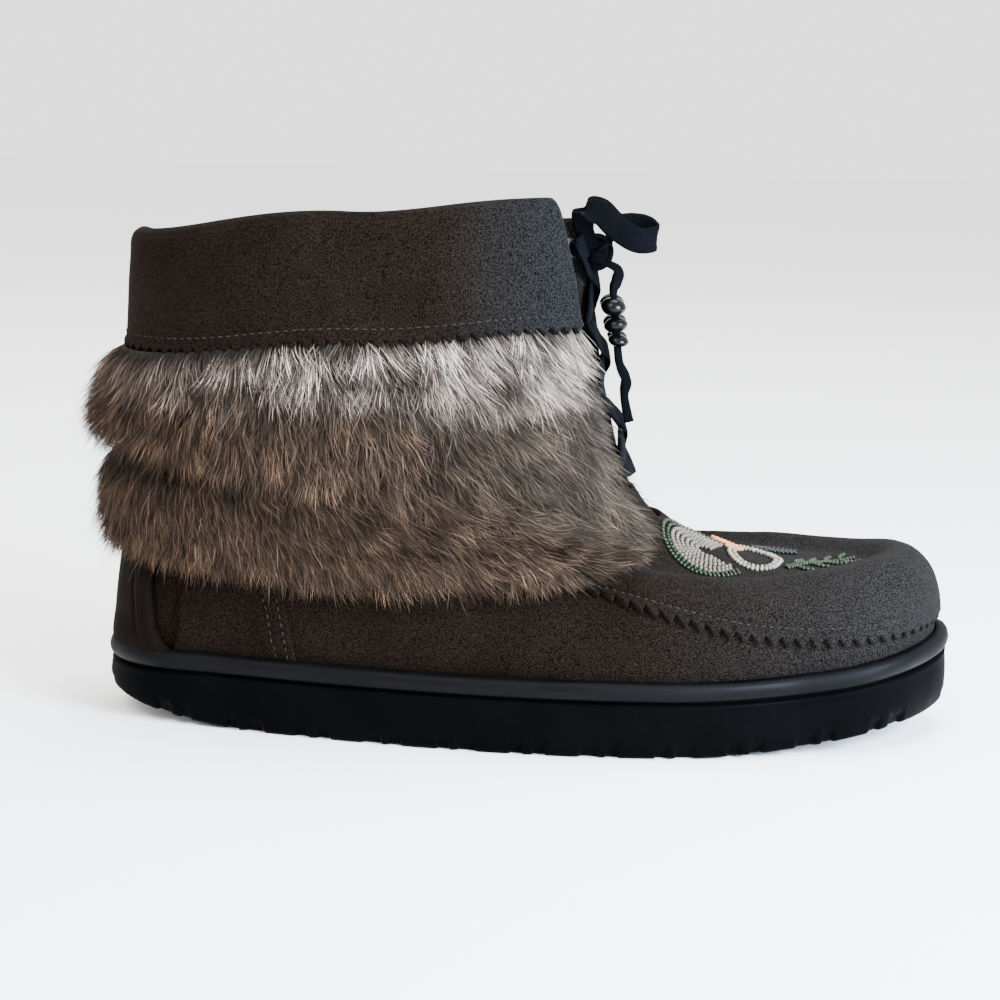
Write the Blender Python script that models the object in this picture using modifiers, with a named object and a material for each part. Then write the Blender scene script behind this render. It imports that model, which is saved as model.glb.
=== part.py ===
"""A short winter boot: suede foot, moccasin toe, fur ankle band, folded cuff, lace and rubber cup sole.

Right shoe. +X points to the toe, -Y to the outer (lateral) side, +Z up. The origin is on the floor under the
ankle. All lengths are in metres.
"""
import math

import bmesh
import bpy
import numpy as np
from mathutils import Vector

# Overall sizes
SOLE_LENGTH = 0.285
HEEL_REACH = 0.063          # from the origin, under the ankle, back to the end of the sole
LATERAL_HALF = 0.054        # half width of the sole towards -Y
MEDIAL_HALF = 0.047         # half width of the sole towards +Y
TOE_SWING = 0.005           # how far the toe tip leans towards +Y
BOOT_HEIGHT = 0.174         # floor to the top of the shaft

# Outsole
RIM_HEIGHT = 0.025          # floor to the top of the rim at the waist
RIM_SPRING = 0.010          # how much the rim rises towards the toe tip
TREAD_SPRING = 0.0135       # how much the tread rises towards the toe tip
HEEL_BEVEL = 0.006          # how much the tread rises at the very back
SPRING_START = 0.125        # X where the toe starts to rise
BEVEL_START = -0.009        # X where the back of the heel starts to rise
SOLE_FLOOR = 0.012          # rubber under the foot
CUP_WALL = 0.0042           # rubber beside the foot
BAND_HEIGHT = 0.0062        # smooth raised band along the rim
GROOVE_DEPTH = 0.0022       # groove under that band
TREAD_INSET = 0.0040        # the tread's edge lies this far inside the rim
BUMPER_HEIGHT = 0.066       # floor to the top of the heel bumper
BUMPER_WALL = 0.0032
BUMPER_TURN = 0.098         # share of a turn where the bumper meets the rim
BUMPER_BORDER = 0.013       # width of its raised border, as a share of a turn
BAND_PROUD = 0.0008         # how far that border stands off the bumper
NOTCH_COUNT = 22            # notches along each side of the sole
NOTCH_WIDTH = 0.0052
NOTCH_HEIGHT = 0.0065
NOTCH_DEPTH = 0.0045
LUG_GAP = 0.0045            # grooves between the tread blocks
LUG_DEPTH = 0.0035
LUG_PITCH = 0.017

# Upper
UPPER_WALL = 0.0022
OVERLAY_WALL = 0.0013       # suede of the toe overlay and the heel counter
SHAFT_BACK = -0.053         # X of the shaft's back at the ankle
SHAFT_FRONT = 0.096         # X of the shaft's front above the ankle
SHAFT_HALF = 0.0385         # half width of the shaft
TRAY_TILT = 0.055           # rise per length across the toe, towards +Y
SLIT_WIDTH = 0.015          # opening down the front of the shaft
INSOLE_WALL = 0.0035
TONGUE_WALL = 0.0022
TONGUE_WIDTH = 0.031

# Cuff and fur
CUFF_WALL = 0.0022
CUFF_FLARE = 0.0036         # how far the cuff's lower edge stands off the shaft
CUFF_LINING = 0.010         # how far the fold reaches down inside the shaft
CUFF_DROP = 0.041           # height of the folded collar
CUFF_TOOTH = 0.0046         # pitch of the pinked edge
CUFF_TOOTH_DEPTH = 0.0018
FUR_DEPTH = 0.0135          # how far the fur stands off the shaft
FUR_TUCK = 0.004            # how far the fur starts under the cuff's edge
FUR_LOCK = 0.016            # width of one lock
FUR_LOCK_DEPTH = 0.0030
FRONT_OPENING = 0.033       # bare width across the front, left by cuff and fur

# Lace
EYELET_ROWS = 4
EYELET_OUTER = 0.0034
EYELET_BORE = 0.0018
EYELET_WALL = 0.0008
EYELET_EDGE = 0.0045        # slit edge to eyelet centre
LACE_WIDTH = 0.0085
LACE_WALL = 0.0012
LACE_STANDOFF = 0.0016
LACE_TUBE = 0.0030          # diameter of the plain tubes of the free lace
BEAD_GAP = 0.0003

GAP = 0.0003                # clearance between touching pieces

HALF_STEPS = 23             # columns on each side of the upper
HEEL_BACK = -HEEL_REACH
TOE_TIP = HEEL_BACK + SOLE_LENGTH

# Rings of the upper above the rim, from the welt to the collar. reach, front, lateral and medial are shares
# of the way from the sole's outline to the shaft's, at the back, the front and the sides. round turns the
# footprint into an oval. Heights are shares of the way from the rim to BOOT_HEIGHT. tilt is a share of
# TRAY_TILT, and spring a share of the rim's rise at the toe.
RING_NAMES = (
    "reach", "front", "lateral", "medial", "round", "z_back", "z_side", "z_front", "tilt", "spring",
)
RINGS = (
    (-0.10, -0.010, -0.08, -0.08, 0.00, 0.050, 0.050, 0.040, 0.0, 1.00),
    (0.05, 0.000, 0.00, 0.00, 0.00, 0.120, 0.120, 0.117, 0.2, 0.66),
    (0.25, 0.035, 0.25, 0.25, 0.10, 0.180, 0.170, 0.181, 0.6, 0.33),
    (0.45, 0.085, 0.48, 0.45, 0.45, 0.221, 0.195, 0.228, 1.0, 0.00),
    (0.58, 0.145, 0.62, 0.60, 0.80, 0.255, 0.221, 0.221, 1.0, 0.00),
    (0.68, 0.215, 0.72, 0.70, 0.95, 0.289, 0.248, 0.193, 0.9, 0.00),
    (0.76, 0.400, 0.80, 0.78, 1.00, 0.336, 0.289, 0.188, 0.6, 0.00),
    (0.84, 0.590, 0.86, 0.85, 1.00, 0.383, 0.336, 0.218, 0.3, 0.00),
    (0.90, 0.745, 0.92, 0.92, 1.00, 0.436, 0.396, 0.272, 0.1, 0.00),
    (0.96, 0.840, 0.96, 0.96, 1.00, 0.497, 0.477, 0.349, 0.0, 0.00),
    (1.00, 0.915, 1.00, 1.00, 1.00, 0.584, 0.584, 0.470, 0.0, 0.00),
    (1.00, 0.965, 1.00, 1.00, 1.00, 0.691, 0.705, 0.604, 0.0, 0.00),
    (0.99, 1.000, 1.00, 1.00, 1.00, 0.792, 0.819, 0.785, 0.0, 0.00),
    (0.97, 1.050, 0.98, 0.98, 1.00, 0.910, 0.970, 1.000, 0.0, 0.00),
)

# Half widths of the footprint as shares of an ellipse's, by share of the length
WIDTH_NAMES = ("length", "lateral", "medial")
WIDTHS = (
    (0.00, 1.15, 1.15),
    (0.15, 0.86, 0.97),
    (0.32, 0.92, 0.86),
    (0.48, 1.00, 0.88),
    (0.66, 1.09, 1.03),
    (0.80, 1.15, 1.17),
    (0.90, 1.28, 1.26),
    (1.00, 1.34, 1.30),
)


def column(table, names, name):
    """One column of a table with named columns."""
    return [row[names.index(name)] for row in table]


def smooth(knots, values, at):
    """A smooth curve through the given values, without overshoot (monotone cubic)."""
    knots = np.asarray(knots, float)
    values = np.asarray(values, float)
    steps = np.diff(knots)
    slopes = np.diff(values) / steps
    tangents = np.zeros(len(knots))
    tangents[0] = slopes[0]
    tangents[-1] = slopes[-1]
    for i in range(1, len(knots) - 1):
        if slopes[i - 1] * slopes[i] > 0:
            ahead = 2 * steps[i] + steps[i - 1]
            behind = steps[i] + 2 * steps[i - 1]
            tangents[i] = (ahead + behind) / (ahead / slopes[i - 1] + behind / slopes[i])
    at = min(max(at, knots[0]), knots[-1])
    i = min(int(np.searchsorted(knots, at, side="right")) - 1, len(knots) - 2)
    t = (at - knots[i]) / steps[i]
    return (
        values[i] * (1 + 2 * t) * (1 - t) ** 2
        + tangents[i] * steps[i] * t * (1 - t) ** 2
        + values[i + 1] * t * t * (3 - 2 * t)
        + tangents[i + 1] * steps[i] * t * t * (t - 1)
    )


def ease(value):
    """0 below 0, 1 above 1, smooth between."""
    value = min(max(value, 0.0), 1.0)
    return value * value * (3 - 2 * value)


def footprint(turn, grow_round=0.0):
    """Share of the length, and of the half width, at a share of a turn from the heel by the medial side."""
    angle = 2 * math.pi * turn
    length = (1 - math.cos(angle)) / 2
    side = "medial" if math.sin(angle) >= 0 else "lateral"
    factor = smooth(column(WIDTHS, WIDTH_NAMES, "length"), column(WIDTHS, WIDTH_NAMES, side), length)
    factor = factor + (1 - factor) * grow_round
    return length, math.sin(angle) * factor


def sole_outline(turn, inset=0.0):
    """The sole's outline in plan, moved inwards by inset."""
    def point(at):
        length, wide = footprint(at)
        half = MEDIAL_HALF if wide >= 0 else LATERAL_HALF
        return np.array((HEEL_BACK + SOLE_LENGTH * length, wide * half + TOE_SWING * length ** 3))

    step = 0.002
    along = point(turn + step) - point(turn - step)
    along /= np.linalg.norm(along)
    return point(turn) + inset * np.array((along[1], -along[0]))


def rise(x, start, end, amount):
    """A quadratic rise from start to end, along X."""
    share = min(max((x - start) / (end - start), 0.0), 1.3)
    return amount * share * share


def tread_height(x):
    return rise(x, SPRING_START, TOE_TIP, TREAD_SPRING) + rise(-x, -BEVEL_START, HEEL_REACH, HEEL_BEVEL)


def rim_height(x):
    return RIM_HEIGHT + rise(x, SPRING_START, TOE_TIP, RIM_SPRING)


def ring_point(turn, ring):
    """A point of one ring of the upper's outside, above the rim."""
    row = dict(zip(RING_NAMES, ring))
    foot_inset = CUP_WALL + GAP
    back = (HEEL_BACK + foot_inset) * (1 - row["reach"]) + SHAFT_BACK * row["reach"]
    front = (TOE_TIP - foot_inset) * (1 - row["front"]) + SHAFT_FRONT * row["front"]
    length, wide = footprint(turn, row["round"])
    medial = (MEDIAL_HALF - foot_inset) * (1 - row["medial"]) + SHAFT_HALF * row["medial"]
    lateral = (LATERAL_HALF - foot_inset) * (1 - row["lateral"]) + SHAFT_HALF * row["lateral"]
    x = back + (front - back) * length
    y = wide * (medial if wide >= 0 else lateral) + TOE_SWING * length ** 3 * (1 - row["front"])
    if length < 0.5:
        share = row["z_side"] + (row["z_back"] - row["z_side"]) * ease(1 - 2 * length)
    else:
        share = row["z_front"] + (row["z_side"] - row["z_front"]) * ease(2 - 2 * length) ** 1.5
    z = RIM_HEIGHT + (BOOT_HEIGHT - RIM_HEIGHT) * share
    z += (rim_height(x) - RIM_HEIGHT) * row["spring"] + TRAY_TILT * row["tilt"] * y * ease(2 * length - 0.8)
    return np.array((x, y, z))


def upper_rows(turn):
    """The upper's outside from the sole's floor to the collar at a share of a turn, a point a level."""
    x, y = sole_outline(turn, CUP_WALL + GAP)
    low = np.array((x, y, SOLE_FLOOR + tread_height(x) + GAP))
    rim = np.array((x, y, rim_height(x) - GAP))
    return [low, rim] + [ring_point(turn, ring) for ring in RINGS]


def upper_curve(turn, level):
    """A point of the upper's outside, on a smooth curve through its rows."""
    rows = upper_rows(turn)
    i = min(max(int(level), 0), len(rows) - 2)
    t = level - i
    before = rows[max(i - 1, 0)] if i > 1 else rows[i]
    after = rows[min(i + 2, len(rows) - 1)]
    low, high = rows[i], rows[i + 1]
    return 0.5 * (
        2 * low + (high - before) * t
        + (2 * before - 5 * low + 4 * high - after) * t ** 2
        + (3 * low - before - 3 * high + after) * t ** 3
    )


def slit_turn(width):
    """Half of a width across the shaft's front, as a share of a turn."""
    return math.asin(width / 2 / SHAFT_HALF) / (2 * math.pi)


TOP_LEVEL = len(RINGS) + 1
SLIT_LEVEL = 11             # row where the front slit ends
SLIT = slit_turn(SLIT_WIDTH)
COLUMNS = [(0.5 - SLIT) * i / HALF_STEPS for i in range(HALF_STEPS + 1)] + [0.5]
COLUMNS += [1 - turn for turn in COLUMNS[-2:0:-1]]
LEVELS = [0, 1, 2, 3, 4, 4.5, 5, 6, 7, 8, 9, 10, 11, 12, 13, 14, 15]
UPPER_GRID = [[upper_curve(turn, level) for turn in COLUMNS] for level in LEVELS]


def upper_facet(turn, level, out=0.0):
    """A point of the upper's faceted outside, moved along its outward direction."""
    turn %= 1.0
    i = len(COLUMNS) - 1
    while COLUMNS[i] > turn:
        i -= 1
    ahead = COLUMNS[i + 1] if i + 1 < len(COLUMNS) else 1.0
    s = (turn - COLUMNS[i]) / (ahead - COLUMNS[i])
    level = min(max(level, LEVELS[0]), LEVELS[-1])
    j = len(LEVELS) - 2
    while LEVELS[j] > level:
        j -= 1
    t = (level - LEVELS[j]) / (LEVELS[j + 1] - LEVELS[j])
    k = (i + 1) % len(COLUMNS)
    low = UPPER_GRID[j][i] * (1 - s) + UPPER_GRID[j][k] * s
    high = UPPER_GRID[j + 1][i] * (1 - s) + UPPER_GRID[j + 1][k] * s
    point = low * (1 - t) + high * t
    if out == 0.0:
        return point
    return point + out * upper_normal(turn, level)


def upper_normal(turn, level):
    """The outward direction of the upper's outside."""
    level = min(max(level, 0.15), TOP_LEVEL - 0.15)
    around = upper_curve(turn + 0.004, level) - upper_curve(turn - 0.004, level)
    upward = upper_curve(turn, level + 0.1) - upper_curve(turn, level - 0.1)
    normal = np.cross(upward, around)
    return normal / np.linalg.norm(normal)


def level_at(turn, height):
    """The level of the shaft at a height, at a share of a turn."""
    rows = [upper_facet(turn, level)[2] for level in LEVELS]
    j = len(LEVELS) - 2
    while j > 0 and rows[j] > height:
        j -= 1
    t = (height - rows[j]) / (rows[j + 1] - rows[j])
    return LEVELS[j] + (LEVELS[j + 1] - LEVELS[j]) * min(t, 1.0)


def add_object(name, bm, material):
    """A named object from a bmesh, in the part's collection."""
    mesh = bpy.data.meshes.new(name)
    bm.normal_update()
    bm.to_mesh(mesh)
    bm.free()
    mesh.materials.append(material)
    piece = bpy.data.objects.new(name, mesh)
    PART.objects.link(piece)
    return piece


def make_material(name, colour, roughness, metallic=0.0):
    material = bpy.data.materials.new(name)
    material.use_nodes = True
    shader = material.node_tree.nodes["Principled BSDF"]
    shader.inputs["Base Color"].default_value = (*colour, 1.0)
    shader.inputs["Roughness"].default_value = roughness
    shader.inputs["Metallic"].default_value = metallic
    return material


def grid_faces(bm, rows, closed, keep=None):
    """Quads between rows of vertices, facing away from the boot where rows go round by the medial side."""
    for j in range(len(rows) - 1):
        count = len(rows[j])
        for i in range(count if closed else count - 1):
            if keep is None or keep(i, j):
                k = (i + 1) % count
                bm.faces.new((rows[j][i], rows[j + 1][i], rows[j + 1][k], rows[j][k]))


def zipper_faces(bm, fine, fine_at, coarse, coarse_at):
    """Triangles from a fine row up to a coarse row, both in the order of their positions."""
    i = j = 0
    while i < len(fine) - 1 or j < len(coarse) - 1:
        step_fine = j == len(coarse) - 1 or (i < len(fine) - 1 and fine_at[i + 1] <= coarse_at[j + 1])
        if step_fine:
            bm.faces.new((fine[i], coarse[j], fine[i + 1]))
            i += 1
        else:
            bm.faces.new((fine[i], coarse[j], coarse[j + 1]))
            j += 1


def solidify(piece, thickness, offset):
    """Gives an open surface its wall: offset 1 grows it outwards, -1 inwards."""
    modifier = piece.modifiers.new("Wall", "SOLIDIFY")
    modifier.thickness = thickness
    modifier.offset = offset
    modifier.use_rim = True


def boolean(piece, cutter, operation):
    modifier = piece.modifiers.new(operation.title(), "BOOLEAN")
    modifier.operation = operation
    modifier.object = cutter
    modifier.solver = "EXACT"
    PART.objects.unlink(cutter)
    CUTTERS.objects.link(cutter)
    cutter.hide_render = True
    cutter.display_type = "WIRE"


def skin(bm, sections, closed):
    """Joins section loops with quads, and closes the ends where the run is open."""
    loops = [[bm.verts.new(point) for point in section] for section in sections]
    count = len(loops)
    for i in range(count if closed else count - 1):
        a, b = loops[i], loops[(i + 1) % count]
        for j in range(len(a)):
            k = (j + 1) % len(a)
            bm.faces.new((a[j], a[k], b[k], b[j]))
    if not closed:
        bm.faces.new(loops[0][::-1])
        bm.faces.new(loops[-1])
    bmesh.ops.recalc_face_normals(bm, faces=bm.faces)
    return loops


def ladder(bm, loop):
    """Closes a loop of the sole with strips across it, from the medial to the lateral side."""
    count = len(loop)
    for i in range(count // 2):
        corners = [loop[i], loop[i + 1], loop[(count - i - 1) % count], loop[(count - i) % count]]
        unique = []
        for corner in corners:
            if corner not in unique:
                unique.append(corner)
        bm.faces.new(unique)


def make_upper():
    """The hollow foot and shaft, open at the collar, at the front slit and underneath."""
    bm = bmesh.new()
    rows = [[bm.verts.new(point) for point in row] for row in UPPER_GRID]
    slit = (HALF_STEPS, HALF_STEPS + 1)
    grid_faces(bm, rows, True, lambda i, j: not (i in slit and LEVELS[j] >= SLIT_LEVEL))
    loose = [vert for vert in bm.verts if not vert.link_faces]
    bmesh.ops.delete(bm, geom=loose, context="VERTS")
    upper = add_object("upper", bm, SUEDE)
    solidify(upper, UPPER_WALL, -1)
    for row in range(EYELET_ROWS):
        for side in (-1, 1):
            boolean(upper, eyelet_hole(row, side), "DIFFERENCE")
    return upper


def eyelet_place(row, side):
    """Centre and outward direction of an eyelet, on the upper's outside."""
    turn = 0.5 + side * slit_turn(SLIT_WIDTH + 2 * EYELET_EDGE)
    low = upper_facet(turn, SLIT_LEVEL + 0.55)[2]
    high = upper_facet(turn, TOP_LEVEL)[2] - 4 * EYELET_OUTER
    level = level_at(turn, low + (high - low) * row / (EYELET_ROWS - 1))
    return upper_facet(turn, level), upper_normal(turn, level)


def place_along(piece, centre, direction):
    piece.location = centre
    piece.rotation_mode = "QUATERNION"
    piece.rotation_quaternion = Vector(direction).to_track_quat("Z", "Y")


def eyelet_hole(row, side):
    bm = bmesh.new()
    bmesh.ops.create_cone(
        bm, cap_ends=True, segments=8, radius1=EYELET_BORE, radius2=EYELET_BORE, depth=4 * UPPER_WALL
    )
    hole = add_object(f"eyelet_hole_{row}_{'medial' if side < 0 else 'lateral'}", bm, SUEDE)
    centre, direction = eyelet_place(row, side)
    place_along(hole, centre, direction)
    return hole


def make_eyelet(row, side):
    """A flat metal ring on the upper."""
    bm = bmesh.new()
    profile = (
        (EYELET_BORE, 0.0), (EYELET_OUTER, 0.0), (EYELET_OUTER - EYELET_WALL / 2, EYELET_WALL),
        (EYELET_BORE, EYELET_WALL),
    )
    sections = []
    for i in range(12):
        angle = 2 * math.pi * i / 12
        sections.append([(r * math.cos(angle), r * math.sin(angle), z) for r, z in profile])
    skin(bm, sections, True)
    eyelet = add_object(f"eyelet_{'medial' if side < 0 else 'lateral'}_{row + 1}", bm, METAL)
    centre, direction = eyelet_place(row, side)
    place_along(eyelet, centre + direction * 2 * GAP, direction)


PLUG_REACH = 0.229          # share of a turn from the toe to the overlay's end
PLUG_TOOTH = 0.0050
PLUG_TOOTH_LEVELS = 0.13    # half the height of a tooth, in levels
PLUG_AWAY = (0.0, 0.06, 0.115, 0.16, 0.184, 0.208, PLUG_REACH)
PLUG_EDGE = (1.75, 2.0, 2.25, 2.6, 3.0, 3.7, 5.0)
PLUG_LEVELS = (2.15, 3, 4, 4.5, 5, 6, 7, 8, 9, 10, 10.4)


def plug_edge(turn):
    """Level of the overlay's lower edge."""
    return smooth(PLUG_AWAY, PLUG_EDGE, abs(turn - 0.5))


def plug_columns():
    """Turns that part the overlay's edge into half teeth of equal length."""
    steps = 400
    turns = [0.5 - PLUG_REACH + 2 * PLUG_REACH * i / steps for i in range(steps + 1)]
    points = [upper_facet(turn, plug_edge(turn)) for turn in turns]
    lengths = [0.0]
    for a, b in zip(points, points[1:]):
        lengths.append(lengths[-1] + float(np.linalg.norm(b - a)))
    count = 2 * round(lengths[-1] / PLUG_TOOTH)
    return [float(np.interp(lengths[-1] * i / count, lengths, turns)) for i in range(count + 1)]


def make_vamp_plug():
    """The pinked overlay that covers the toe's top up to the instep."""
    coarse = [t for t in COLUMNS if abs(t - 0.5) < PLUG_REACH - 0.004]
    coarse = [0.5 - PLUG_REACH] + coarse + [0.5 + PLUG_REACH]
    bm = bmesh.new()
    rows = []
    for k, level in enumerate(PLUG_LEVELS):
        row = []
        for turn in coarse:
            above_edge = plug_edge(turn) + 2.2 * PLUG_TOOTH_LEVELS + 0.22 * k
            row.append(bm.verts.new(upper_facet(turn, max(level, above_edge), GAP)))
        rows.append(row)
    grid_faces(bm, rows, False)
    fine = plug_columns()
    low = []
    for i, turn in enumerate(fine):
        level = plug_edge(turn) + PLUG_TOOTH_LEVELS * (1 if i % 2 else -1)
        low.append(bm.verts.new(upper_facet(turn, level, GAP)))
    zipper_faces(bm, low, fine, rows[0], coarse)
    plug = add_object("vamp_plug", bm, SUEDE)
    solidify(plug, OVERLAY_WALL, 1)


COUNTER_REACH = 0.159       # share of a turn from the heel's back to the counter's front edge, at the rim
COUNTER_LEAN = 0.004        # how much less that is, a level higher
COUNTER_LEVELS = (1.12, 2, 3, 3.5, 4)


def make_heel_counter():
    """The suede overlay on each side of the heel, from the rim up under the fur, its front edge slanted."""
    back = BUMPER_TURN + 0.004
    for side, name in ((1, "medial"), (-1, "lateral")):
        bm = bmesh.new()
        rows = []
        for level in COUNTER_LEVELS:
            front = COUNTER_REACH - COUNTER_LEAN * (level - 1)
            turns = [back + (front - back) * i / 4 for i in range(5)]
            rows.append([bm.verts.new(upper_facet(side * t, level, GAP)) for t in turns[::side]])
        grid_faces(bm, rows, False)
        piece = add_object(f"heel_counter_{name}", bm, SUEDE)
        solidify(piece, OVERLAY_WALL, 1)


def make_insole():
    """A flat pad on the sole's floor, inside the upper."""
    inset = CUP_WALL + GAP + UPPER_WALL + 2 * GAP
    bm = bmesh.new()
    turns = [i / 48 for i in range(48)]
    loops = []
    for lift in (GAP, INSOLE_WALL):
        loop = []
        for turn in turns:
            x, y = sole_outline(turn, inset)
            loop.append(bm.verts.new((x, y, SOLE_FLOOR + tread_height(x) + lift)))
        loops.append(loop)
    for i in range(48):
        k = (i + 1) % 48
        bm.faces.new((loops[0][i], loops[1][i], loops[1][k], loops[0][k]))
    ladder(bm, loops[0])
    ladder(bm, loops[1])
    bmesh.ops.recalc_face_normals(bm, faces=bm.faces)
    add_object("insole", bm, LINING)


def make_tongue():
    """A sheet behind the slit, from the instep up to the collar."""
    reach = slit_turn(TONGUE_WIDTH)
    turns = [0.5 + reach * i / 3 for i in range(-3, 4)]
    bm = bmesh.new()
    rows = []
    for level in (10.6, 11, 12, 13, 14, 14.8):
        rows.append([bm.verts.new(upper_facet(turn, level, -UPPER_WALL - 3 * GAP)) for turn in turns])
    grid_faces(bm, rows, False)
    tongue = add_object("tongue", bm, SUEDE)
    solidify(tongue, TONGUE_WALL, -1)


SOLE_STEPS = 72
# Height as a share of the way from the rim to BUMPER_HEIGHT, and reach as a share of BUMPER_TURN
BUMPER_SHAPE = (
    (-0.20, 1.00),
    (-0.08, 1.00),
    (0.00, 0.93),
    (0.06, 0.83),
    (0.18, 0.75),
    (0.44, 0.70),
    (0.65, 0.67),
    (0.80, 0.61),
    (0.90, 0.50),
    (0.97, 0.33),
    (1.00, 0.16),
)


def make_cup():
    """The sole's body: tread, side wall, groove and the cup that the upper stands in."""
    bm = bmesh.new()
    loops = []
    turns = [i / SOLE_STEPS for i in range(SOLE_STEPS)]

    def profile(x):
        tread = tread_height(x)
        rim = rim_height(x)
        band = rim - BAND_HEIGHT
        side = TREAD_INSET * 0.3
        return (
            (TREAD_INSET + 0.0020, tread),
            (TREAD_INSET * 0.55, tread + 0.0014),
            (side + 0.0003, tread + 0.0045),
            (side, band - 0.0016),
            (side + GROOVE_DEPTH, band - 0.0006),
            (side + GROOVE_DEPTH, band + 0.0001),
            (0.0006, band + 0.0003),
            (0.0, band + 0.0012),
            (0.0, rim - 0.0010),
            (0.0008, rim),
            (CUP_WALL, rim),
        )

    for turn in turns:
        rows = profile(sole_outline(turn)[0])
        loop = []
        for inset, z in rows:
            x, y = sole_outline(turn, inset)
            loop.append(bm.verts.new((x, y, z)))
        x, y = sole_outline(turn, CUP_WALL)
        loop.append(bm.verts.new((x, y, SOLE_FLOOR + tread_height(x))))
        loops.append(loop)
    count = len(loops)
    for i in range(count):
        a, b = loops[i], loops[(i + 1) % count]
        for j in range(len(a) - 1):
            bm.faces.new((a[j], a[j + 1], b[j + 1], b[j]))
    ladder(bm, [loop[0] for loop in loops])
    ladder(bm, [loop[-1] for loop in loops])
    bmesh.ops.recalc_face_normals(bm, faces=bm.faces)
    return add_object("outsole", bm, RUBBER)


def make_bumper():
    """The rubber that rises behind the heel, with a raised border that runs on from the rim band."""
    bm = bmesh.new()
    sections = []
    rise_over_rim = BUMPER_HEIGHT - RIM_HEIGHT
    for height, reach in BUMPER_SHAPE:
        z = RIM_HEIGHT + rise_over_rim * height
        half = BUMPER_TURN * reach
        border = min(BUMPER_BORDER, 0.45 * half)
        field = half - border * 1.2
        shares = [half, half - border * 0.12, half - border, field, field * 0.75, field * 0.5, field * 0.25]
        inner, outer = [], []
        for turn in [-t for t in shares] + [0.0] + shares[::-1]:
            level = level_at(turn, z)
            inside = GAP * 1.5 + 0.0004 * (1 - ease((z - RIM_HEIGHT) / 0.004))
            low = 1 - ease((z - RIM_HEIGHT) / 0.010)
            wall = GAP + BUMPER_WALL + (CUP_WALL + 0.0002 - BUMPER_WALL) * low
            edge = half - abs(turn) > 0.9 * border * 0.12 and half - abs(turn) < 1.1 * border
            raised = edge or height > 0.86
            inner.append(upper_facet(turn, level, inside))
            outer.append(upper_facet(turn, level, wall + (BAND_PROUD * (1 - low) if raised else 0.0)))
        sections.append(inner + outer[::-1])
    skin(bm, sections, False)
    return add_object("heel_bumper", bm, RUBBER)


def add_box(bm, centre, size, heading):
    """A box in a cutter, turned about Z."""
    box = bmesh.ops.create_cube(bm, size=1.0)["verts"]
    cos, sin = math.cos(heading), math.sin(heading)
    for vert in box:
        x, y, z = vert.co.x * size[0], vert.co.y * size[1], vert.co.z * size[2]
        vert.co = Vector((centre[0] + x * cos - y * sin, centre[1] + x * sin + y * cos, centre[2] + z))


def make_tread_cutter():
    """Notches along the sole's lower edge and grooves between its tread blocks."""
    bm = bmesh.new()
    for side in (1, -1):
        for i in range(NOTCH_COUNT):
            share = 0.045 + 0.91 * (i + 0.5 + 0.18 * (-1) ** i) / NOTCH_COUNT
            turn = math.acos(1 - 2 * share) / (2 * math.pi)
            turn = turn if side > 0 else 1 - turn
            x, y = sole_outline(turn, TREAD_INSET * 0.3)
            ahead = sole_outline(turn + 0.002) - sole_outline(turn - 0.002)
            size = (NOTCH_WIDTH * (0.8 + 0.4 * (i % 3 == 0)), 2 * NOTCH_DEPTH, 2 * NOTCH_HEIGHT)
            add_box(bm, (x, y, tread_height(x)), size, math.atan2(ahead[1], ahead[0]))
    first = math.ceil((HEEL_BACK + LUG_PITCH) / LUG_PITCH - 0.5)
    last = math.floor((TOE_TIP - LUG_PITCH) / LUG_PITCH - 0.5)
    for i in range(first, last + 1):
        x = (i + 0.5) * LUG_PITCH
        share = (x - HEEL_BACK) / SOLE_LENGTH
        turn = math.acos(1 - 2 * share) / (2 * math.pi)
        high = sole_outline(turn, TREAD_INSET + 2 * NOTCH_DEPTH)[1]
        low = sole_outline(1 - turn, TREAD_INSET + 2 * NOTCH_DEPTH)[1]
        add_box(bm, (x, (high + low) / 2, tread_height(x)), (LUG_GAP, high - low, 2 * LUG_DEPTH), 0.0)
    return add_object("tread_cutter", bm, RUBBER)


def make_outsole():
    outsole = make_cup()
    boolean(outsole, make_bumper(), "UNION")
    boolean(outsole, make_tread_cutter(), "DIFFERENCE")


def open_turns(steps):
    """Columns from the front opening round the back to the front opening again."""
    reach = slit_turn(FRONT_OPENING)
    return [0.5 + reach + (1 - 2 * reach) * i / steps for i in range(steps + 1)]


def collar_point(turn, out, drop):
    """A point off the shaft's outside, drop under its top, or over its top where drop is negative."""
    top = upper_facet(turn, TOP_LEVEL)
    if drop > 0:
        return upper_facet(turn, level_at(turn, top[2] - drop), out)
    return upper_facet(turn, TOP_LEVEL, out) + np.array((0.0, 0.0, -drop))


CUFF_STEPS = 36
# Shares of CUFF_FLARE and of CUFF_DROP, from the lower edge upwards
CUFF_ROWS = (
    (1.00, 0.88),
    (0.80, 0.62),
    (0.42, 0.34),
    (0.16, 0.08),
)


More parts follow.
